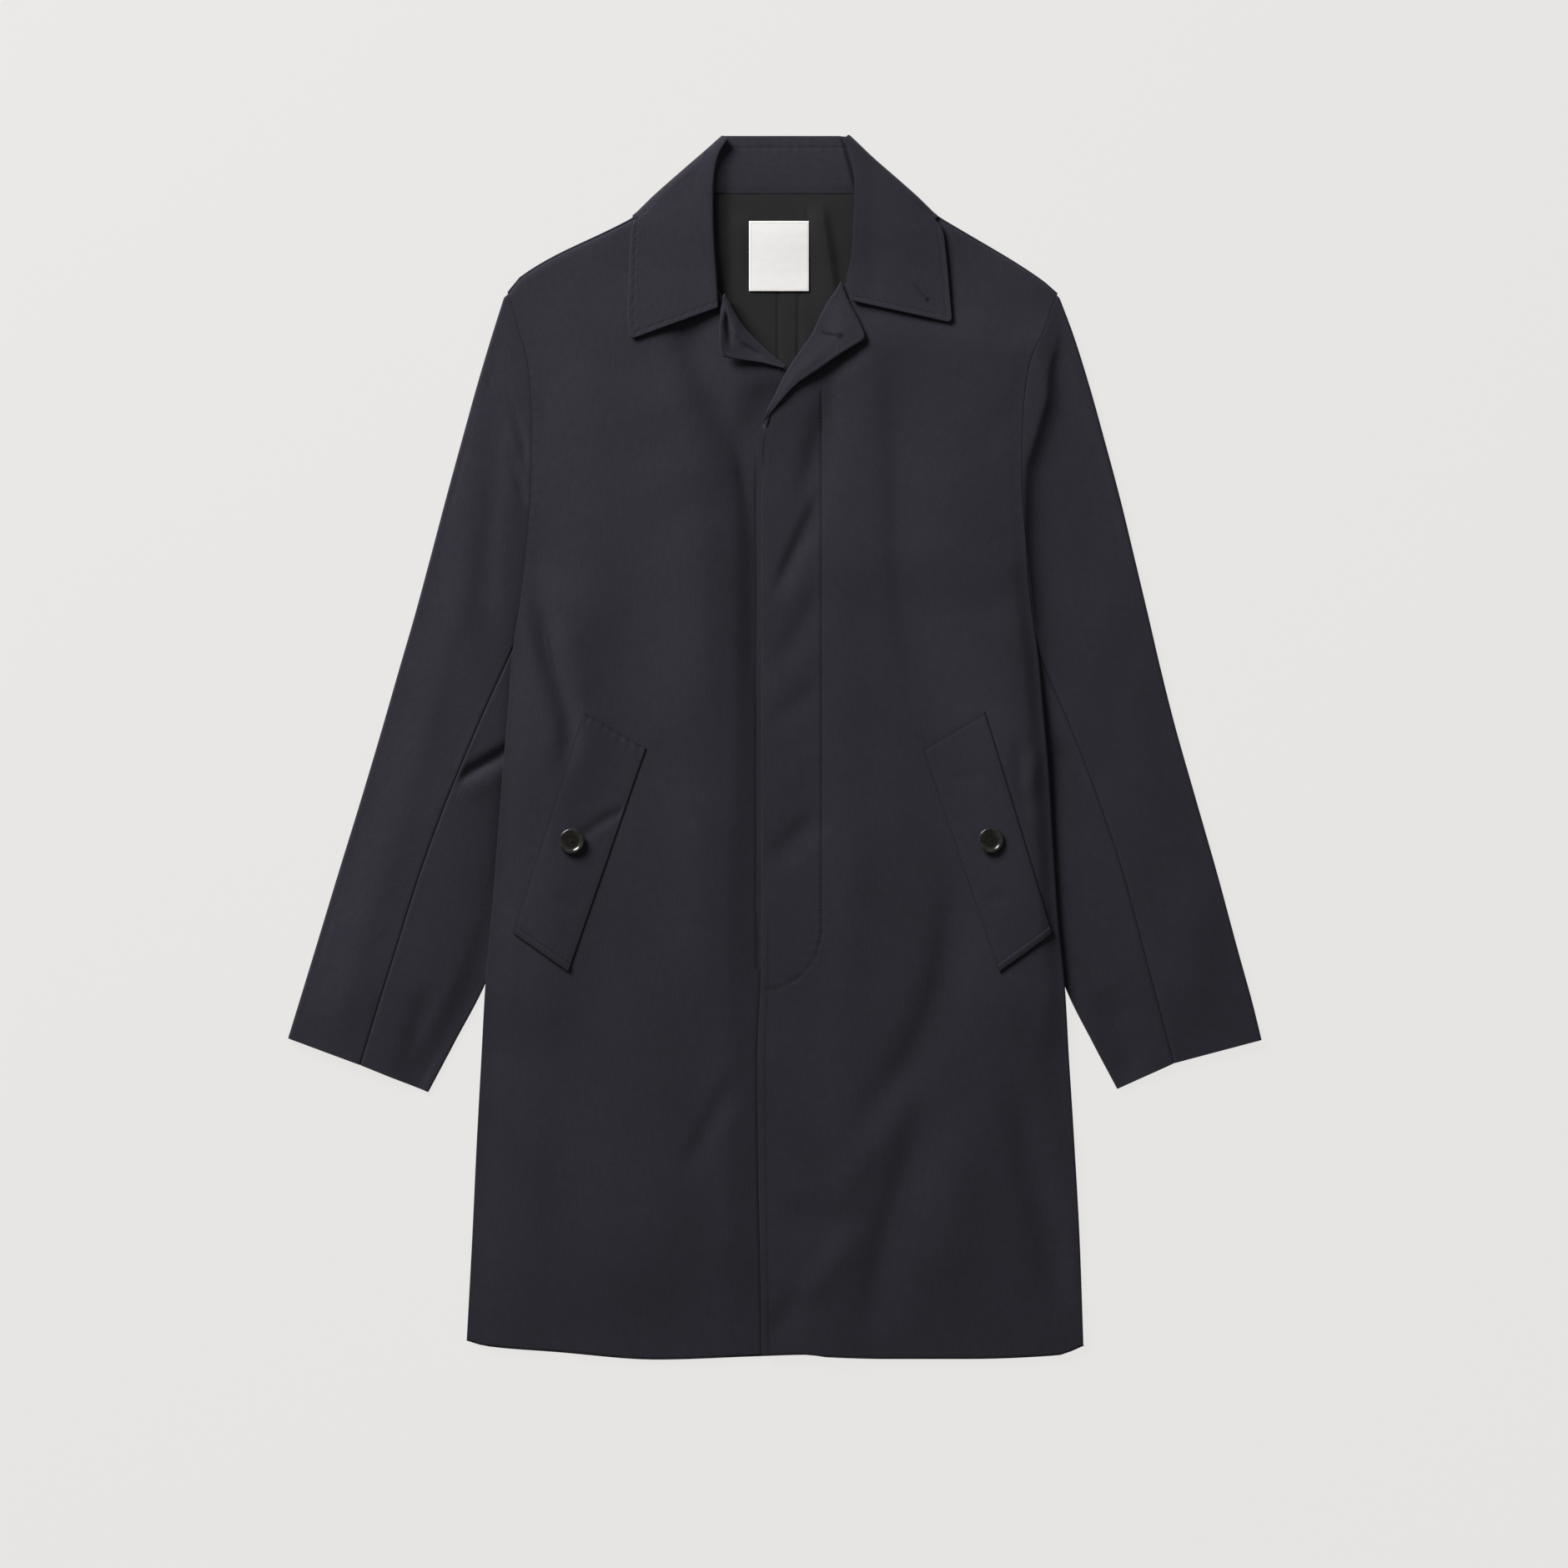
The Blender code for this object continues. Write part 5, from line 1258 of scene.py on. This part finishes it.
def lapel_grid(table, base, spring, press):
    """Points of a turned-out lapel, its roll pressed flat by a share, and the rubbed mark of each."""
    knots = np.arange(len(table))
    rows = np.linspace(0.0, len(table) - 1.0, 14 * (len(table) - 1) + 1)
    grid, marks = [], []
    columns = [through(knots, column(table, k), rows) for k in range(6)]
    for roll_x, roll_y, far_x, far_y, stand_off, lift in zip(*columns):
        roll = np.array([roll_x, roll_y])
        far = np.array([far_x, far_y])
        span = np.hypot(*(far - roll))
        along = (far - roll) / span
        front = float(base(roll_x + 2.4 * along[0], roll_y + 2.4 * along[1]))
        low = front - WALL - GAP - WALL - 0.2
        high = front + GAP + WALL + 0.7 + lift
        radius = min((high - low) / 2.0, 0.42 * span)
        low = high - 2.0 * radius
        turn = np.radians(np.linspace(-75.0, 75.0, 11))
        flat = press * radius
        s = np.array([flat] + spread(flat, span, 26))
        t = (s - flat) / (span - flat)
        x, y = roll[0] + along[0] * s, roll[1] + along[1] * s
        over = base(x, y) + WALL + GAP + 0.7 + lift + (stand_off - 2.0) * ease(t / spring)
        over = over + crease_height(LAPEL_CRUMPLES, x, y) * ease(4.0 * t)
        edge = span - s
        groove = 0.12 * np.exp(-((edge - STITCH_IN) ** 2)) * ease((span - 12.0) / 8.0)
        over = over - 0.9 * roll_drop(edge, 0.8) - groove
        run = np.concatenate([[flat + 5.0, flat], flat - flat * np.cos(turn), s])
        bend = low + radius + radius * np.sin(turn)
        z = np.concatenate([[low, low], bend, np.maximum(over, high * (1.0 - t))])
        grid.append(np.column_stack([roll + along * run[:, None], z]))
        marks.append(np.concatenate([np.zeros(13), worn(edge)]))
    return np.array(grid), np.array(marks)


lapels = {}
lapel_sides = [("right", RIGHT_LAPEL, right_base, 1.0, 1.0), ("left", LEFT_LAPEL, left_base, 0.7, 0.5)]
for side, table_of, base, spring, press in lapel_sides:
    grid, marks = lapel_grid(table_of, base, spring, press)
    lapel = sheet_mesh(side + "_lapel", grid, (grid.shape[0] // 2, grid.shape[1] - 6), navy, WALL, marks)
    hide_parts("facing_" + side)
    lapels[side] = lapel
    print(side, "lapel", grid.shape[:2], "points, area", round(flat_area(grid), 5))

# %% [markdown]
# ## Pocket welts
# A slanting welt covers each pocket. It is a strip of cloth with its edges turned in, sewn down by a row of
# stitches across its top and another across a thicker band at its foot. It is made from the front's own
# points moved up, so it follows the folds beneath, and painted shade darkens the line round it and the line
# above its foot.

# %% Welts
# Corners: top outer, top inner, bottom inner, bottom outer.
RIGHT_WELT = [(-160.3, 29.8), (-107.8, -1.0), (-172.9, -188.6), (-219.8, -155.7)]
LEFT_WELT = [(175.7, 29.8), (123.2, -1.0), (187.6, -188.6), (232.4, -156.2)]
WELT_WALL = 0.8
WELT_CREASES = [
    ([(-172, -86), (-152, -68), (-128, -54), (-116, -48)], 4.5, 4, -1.4),
    ([(-158, -60), (-144, -52), (-124, -42)], 9, 7, 0.35),
    ([(-186, -120), (-176, -130), (-160, -136)], 6, 5, -0.6),
    ([(176, -20), (160, -26), (144, -26)], 6, 5, -0.5),
    ([(196, -120), (186, -128), (174, -130)], 5, 6, -0.6),
]
WELT_STEPS = EDGE_STEPS[::-1]
WELT_STITCH = 3.0


def front_height(side, x, y):
    """A front with its creases, softened for what lies on it."""
    base, creases = (right_base, RIGHT_CREASES) if side == "right" else (left_base, LEFT_CREASES)
    folds = crease_height(creases, x, y) + ripple(x, y)
    return base(x, y) + np.maximum(folds, 0.6 * folds)


def welt_grid(corners, side):
    """Points of a welt, and the painted shade along its edges and above its foot."""
    a, b, c, d = [np.array(corner) for corner in corners]
    across = (np.hypot(*(b - a)) + np.hypot(*(c - d))) / 2.0
    length = (np.hypot(*(d - a)) + np.hypot(*(c - b))) / 2.0
    u = np.array(WELT_STEPS + spread(8.0, across - 8.0, 20)[:-1] + [across - s for s in EDGE_STEPS])
    v = np.array(WELT_STEPS + spread(8.0, length - 8.0, 74)[:-1] + [length - s for s in EDGE_STEPS])
    near = np.minimum(np.minimum(u, across - u)[None, :], np.minimum(v, length - v)[:, None])
    s, t = (u / across)[None, :, None], (v / length)[:, None, None]
    points = (a + (b - a) * s) * (1.0 - t) + (d + (c - d) * s) * t
    x, y = points[..., 0], points[..., 1]
    groove = 0.3 * np.exp(-(((v - WELT_STITCH) / 0.8) ** 2))[:, None]
    band = ease((v - length + 6.2) / 1.2)[:, None]
    lift = 0.15 + WELT_WALL + 0.25 * ease(near / 6.0) + 0.3 * ease((v - length + 40.0) / 36.0)[:, None] + band
    z = front_height(side, x, y) + lift - 0.8 * roll_drop(near, 0.6) - groove
    z = z + crease_height(WELT_CREASES, x, y) * ease(near / 4.0)
    z = z + 0.9 * pucker(1.2 * u[None, :], v[:, None] - WELT_STITCH)
    seam_shade = np.maximum(seam_shade_line(near, 1.0), 0.7 * seam_shade_line(v - length + 6.4, 0.7)[:, None])
    return np.stack([x, y, z], axis=-1), seam_shade


welts = {}
for side, corners in (("right", RIGHT_WELT), ("left", LEFT_WELT)):
    grid, seam_shade = welt_grid(corners, side)
    welt = sheet_mesh(side + "_welt", grid, (50, 25), navy, WELT_WALL, seam=seam_shade)
    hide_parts("welt_" + side)
    welts[side] = (welt, grid)
    print(side, "welt", grid.shape[:2], "points, area", round(flat_area(grid), 5))

# %% [markdown]
# ## Stitches
# A stitch is a short twist of thread that dips into the cloth at both ends. Each row follows a path drawn on
# a piece. A ray dropped on the piece finds the height, so the thread lies on the real surface. A dashed
# texture would look flat from the side.

# %% Rows of stitches
def surface(piece):
    """A search tree over a piece's own face, to drop points on it."""
    mesh = piece.data
    return BVHTree.FromPolygons([v.co for v in mesh.vertices], [p.vertices[:] for p in mesh.polygons])


def height_on(tree, x, y, fallback):
    """Height of a piece's face under a point, in millimetres."""
    hit = tree.ray_cast(Vector((x * MM, y * MM, 0.1)), Vector((0.0, 0.0, -1.0)))[0]
    return fallback if hit is None else hit.z / MM


def walk(path, pitch):
    """Points spaced evenly along a path, with the direction at each."""
    path = np.asarray(path, float)
    spans = np.hypot(*np.diff(path, axis=0).T)
    run = np.concatenate([[0.0], np.cumsum(spans)])

    def spots(places):
        """Points of the path at some lengths along it."""
        return np.stack([np.interp(places, run, path[:, k]) for k in (0, 1)], axis=-1)

    at = np.arange(pitch / 2.0, run[-1], pitch)
    step = spots(at + 0.4) - spots(at - 0.4)
    return spots(at), step / np.maximum(np.hypot(*step.T), 1e-9)[:, None]


# Place along a stitch, lift and girth.
BEAD = [(-1.0, -0.25, 0.0), (-0.72, 0.02, 0.8), (0.0, 0.10, 1.0), (0.72, 0.02, 0.8), (1.0, -0.25, 0.0)]


def add_stitch(points, faces, centre, along, height, half, thick):
    """Adds one bead of thread, from dip to dip."""
    side = np.array([-along[1], along[0]])
    start = len(points)
    for s, lift, girth in BEAD:
        for across, up in ((-1.0, 0.0), (0.0, 1.0), (1.0, 0.0)):
            spot = centre + along * s * half + side * across * girth * thick
            points.append((*spot, height + lift + up * girth * thick))
    for k in range(4):
        for j in range(2):
            a = start + 3 * k + j
            faces.append((a, a + 1, a + 4, a + 3))


def stitched(name, rows_of, look, pitch=3.2, half=1.25, thick=0.30):
    """A piece of sewing: rows of stitches, each with its path and the piece it is sewn on."""
    points, faces = [], []
    for path, tree in rows_of:
        centres, steps = walk(path, pitch)
        for centre, along in zip(centres, steps):
            height = height_on(tree, *centre, None)
            if height is not None:
                add_stitch(points, faces, centre, along, height, half, thick)
    mesh = bpy.data.meshes.new(name)
    mesh.from_pydata((np.array(points) * MM).tolist(), [], faces)
    mesh.polygons.foreach_set("use_smooth", np.ones(len(faces), bool))
    mesh.materials.append(look)
    sewing = placed(name, mesh)
    print(name, len(faces) // 8, "stitches")
    return sewing


trees = {piece.name: surface(piece) for piece in (left_front, collar_leaf, collar_stand, label)}
for side in ("right", "left"):
    trees[side + "_welt"] = surface(welts[side][0])
    trees[side + "_lapel"] = surface(lapels[side])
print(len(trees), "pieces to sew on")

# %% Sew the collar, stand, fly, welts and label
def leaf_stitch_path(table):
    """The row round a leaf's free edges, from the roll along the front edge and up the outer edge."""
    knots = np.arange(len(table))
    rows = np.linspace(0.0, len(table) - 1.3, 60)
    roll = np.stack([through(knots, column(table, k), rows) for k in (0, 1)], axis=-1)
    far = np.stack([through(knots, column(table, k), rows) for k in (2, 3)], axis=-1)
    inward = (roll - far) / np.hypot(*(roll - far).T)[:, None]
    up = np.gradient(far, axis=0)
    up = up / np.hypot(*up.T)[:, None]
    side_row = far + inward * STITCH_IN
    front = np.linspace(0.03, 1.0, 30)[:, None] * (far[0] - roll[0]) + roll[0] + up[0] * STITCH_IN
    front = front[np.hypot(*(front - far[0]).T) > STITCH_IN + 2.0]
    side_row = side_row[np.hypot(*(side_row - far[0]).T) > STITCH_IN + 2.0]
    return np.concatenate([front, side_row])


collar_rows = [(leaf_stitch_path(table_of), trees["turned_collar"]) for table_of in (RIGHT_LEAF, LEFT_LEAF)]
collar_sewing = stitched("collar_stitching", collar_rows, navy_thread, thick=0.24)
stand_row = [(-33.0, 502.6), (-14.0, 503.2), (9.0, 503.2), (32.0, 503.2), (51.0, 502.6)]
stand_rows = [(fair_path(stand_row, 40), trees["inner_stand"])]
stand_sewing = stitched("stand_stitching", stand_rows, navy_thread)
fly_sewing = stitched("fly_stitching", [(FLY_LINE[1:], trees["left_front"])], navy_thread)
welt_rows = []
for side in ("right", "left"):
    grid = welts[side][1][..., :2]
    i = WELT_STEPS.index(WELT_STITCH)
    for row in (grid[i, 3:-3], grid[-i - 1, 3:-3]):
        welt_rows.append((row, trees[side + "_welt"]))
stitched("welt_stitching", welt_rows, navy_thread)
lx, ly = LABEL_CORNER[0] + 1.6, LABEL_CORNER[1] + 1.6
lw, lh = LABEL_SIZE[0] - 3.2, LABEL_SIZE[1] - 3.2
label_ring = [(lx, ly + lh), (lx + lw, ly + lh), (lx + lw, ly), (lx, ly), (lx, ly + lh)]
label_rows = [(label_ring, trees["blank_label"])]
label_sewing = stitched("label_stitching", label_rows, white_thread, 2.6, 0.95, 0.18)

# %% [markdown]
# ## Buttonholes
# The right lapel and the right tip of the collar, as seen in the picture, each have a worked buttonhole: a
# slit bound with close stitches, with a round eye at one end. The slit and its eye are covered by a thin dark
# lens just on the cloth, painted shadow for the opening, and the binding is a fan of short stitches round it.

# %% Worked buttonholes
def buttonhole(name, start, eye, tree, look, thick, gape):
    """A slit from a start point to its round eye, bound with stitches and open by a share."""
    start, eye = np.array(start), np.array(eye)
    along = (eye - start) / np.hypot(*(eye - start))
    side = np.array([-along[1], along[0]])
    points, faces = [], []
    for t in np.linspace(0.0, 1.0, 13):
        for sign in (-1.0, 1.0):
            spot = start + (eye - start) * t + side * sign * 0.85
            add_stitch(points, faces, spot, side, height_on(tree, *spot, 12.0), 0.95, thick)
    for angle in np.radians(np.arange(-120.0, 121.0, 24.0)):
        ray = along * math.cos(angle) + side * math.sin(angle)
        spot = eye + ray * 1.9
        add_stitch(points, faces, spot, ray, height_on(tree, *spot, 12.0), 0.95, thick)
    bound = len(faces)
    # The slit and eye are a dark lens: painted shadow for the opening.
    outline = [start, start + (eye - start) * 0.5 + side * 0.42 * gape, eye - along * 1.0 + side * 0.6 * gape]
    turns = np.radians(np.arange(120.0, -121.0, -20.0))
    outline += [eye + 1.35 * (along * math.cos(a) + side * math.sin(a)) for a in turns]
    outline += [eye - along * 1.0 - side * 0.6 * gape, start + (eye - start) * 0.5 - side * 0.42 * gape]
    first = len(points)
    points += [(*spot, height_on(tree, *spot, 12.0) + 0.16) for spot in outline]
    faces.append(tuple(range(first, len(points))))
    mesh = bpy.data.meshes.new(name)
    mesh.from_pydata((np.array(points) * MM).tolist(), [], faces)
    mesh.materials.append(look)
    mesh.materials.append(shadow_thread)
    mesh.polygons.foreach_set("material_index", [0] * bound + [1])
    work = placed(name, mesh)
    print(name, round(float(np.hypot(*(eye - start))), 1), "mm long")
    return work


LAPEL_SLIT = (39.2, 346.9), (54.6, 344.0)
COLLAR_SLIT = (115.5, 388.2), (127.4, 374.9)
lapel_hole = buttonhole("lapel_buttonhole", *LAPEL_SLIT, trees["left_lapel"], dark_thread, 0.28, 0.6)
collar_hole = buttonhole("collar_buttonhole", *COLLAR_SLIT, trees["turned_collar"], navy_thread, 0.16, 0.1)

# %% [markdown]
# ## Pocket buttons
# Each button is turned on a lathe: a dished face, a raised round rim and a flat back. In Blender that is a
# profile spun by the Screw modifier. Four holes are cut by Boolean, and two bars of thread cross them.

# %% Buttons
# Radius and height, from the middle of the face to the middle of the back.
BUTTON = [
    (0.0, 2.3), (3.0, 2.3), (5.2, 2.35), (6.4, 2.55), (7.4, 2.95), (8.1, 3.4), (8.7, 3.66), (9.3, 3.7),
    (9.9, 3.5), (10.4, 3.1), (10.7, 2.5), (10.8, 1.9), (10.6, 1.3), (9.9, 0.7), (8.0, 0.0), (0.0, 0.0),
]
HOLE_OUT = 2.1
HOLE_RADIUS = 0.95
SEAT_RADIUS = 9.5


def lathe(name, profile, steps):
    """A turned solid from a profile of radius and height."""
    mesh = bpy.data.meshes.new(name)
    spots = [(r * MM, 0.0, h * MM) for r, h in profile]
    mesh.from_pydata(spots, [(k, k + 1) for k in range(len(profile) - 1)], [])
    turned = bpy.data.objects.new(name, mesh)
    bpy.context.scene.collection.objects.link(turned)
    spin = turned.modifiers.new("turn", "SCREW")
    spin.axis = "Z"
    spin.steps = steps
    spin.render_steps = steps
    spin.use_merge_vertices = True
    spin.merge_threshold = 0.00002
    spin.use_normal_calculate = True
    return turned


def settled(piece):
    """A piece's mesh with its modifiers applied."""
    ready = piece.evaluated_get(bpy.context.evaluated_depsgraph_get())
    return bpy.data.meshes.new_from_object(ready)


def pocket_button(name, node, centre, tree):
    """A four-hole button sewn on a welt."""
    blank = lathe(name + "_blank", BUTTON, 72)
    drill = lathe(name + "_drill", [(0.0, 6.0), (HOLE_RADIUS, 6.0), (HOLE_RADIUS, 1.0), (0.0, 1.0)], 20)
    bit = settled(drill)
    holes = bpy.data.meshes.new(name + "_holes")
    spots, sides = [], []
    for angle in np.radians([30.0, 120.0, 210.0, 300.0]):
        out = Vector((HOLE_OUT * math.cos(angle), HOLE_OUT * math.sin(angle), 0.0)) * MM
        first = len(spots)
        spots += [v.co + out for v in bit.vertices]
        sides += [tuple(first + k for k in p.vertices) for p in bit.polygons]
    holes.from_pydata(spots, [], sides)
    drill.modifiers.clear()
    drill.data = holes
    cut = blank.modifiers.new("holes", "BOOLEAN")
    cut.operation = "DIFFERENCE"
    cut.solver = "EXACT"
    cut.object = drill
    mesh = settled(blank)
    for old in (blank, drill):
        bpy.data.objects.remove(old, do_unlink=True)
    turns = np.radians(np.arange(0.0, 360.0, 30.0))
    ring = [(centre[0] + SEAT_RADIUS * math.cos(a), centre[1] + SEAT_RADIUS * math.sin(a)) for a in turns]
    seat = max(height_on(tree, *spot, 8.0) for spot in ring) + 0.2
    for v in mesh.vertices:
        v.co += Vector((centre[0], centre[1], seat)) * MM
    # The rim mark places the lighter rim tone, partly a painted highlight.
    rim = mesh.attributes.new("rim", "FLOAT", "POINT")
    out = np.array([math.hypot(v.co.x / MM - centre[0], v.co.y / MM - centre[1]) for v in mesh.vertices])
    rim.data.foreach_set("value", ease((out - 5.4) / 2.2).astype(np.float32))
    mesh.polygons.foreach_set("use_smooth", np.ones(len(mesh.polygons), bool))
    mesh.materials.clear()
    mesh.materials.append(resin)
    piece = placed(name, mesh)
    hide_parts(node)
    points, faces = [], []
    for angle in np.radians([30.0, 120.0]):
        along = np.array([math.cos(angle), math.sin(angle)])
        for shift in (-0.35, 0.0, 0.35):
            spot = np.array(centre) + np.array([-along[1], along[0]]) * shift
            add_stitch(points, faces, spot, along, seat + 2.35 + 0.2 * (shift == 0.0), 2.3, 0.26)
    thread_mesh = bpy.data.meshes.new(name + "_thread")
    thread_mesh.from_pydata((np.array(points) * MM).tolist(), [], faces)
    thread_mesh.materials.append(dark_thread)
    thread = placed(name + "_thread", thread_mesh)
    print(name, len(mesh.polygons), "faces, seat", round(seat, 1), "mm up")


for side, centre in (("right", (-170.1, -78.8)), ("left", (180.6, -78.1))):
    pocket_button(side + "_pocket_button", "pocket_button_" + side, centre, trees[side + "_welt"])
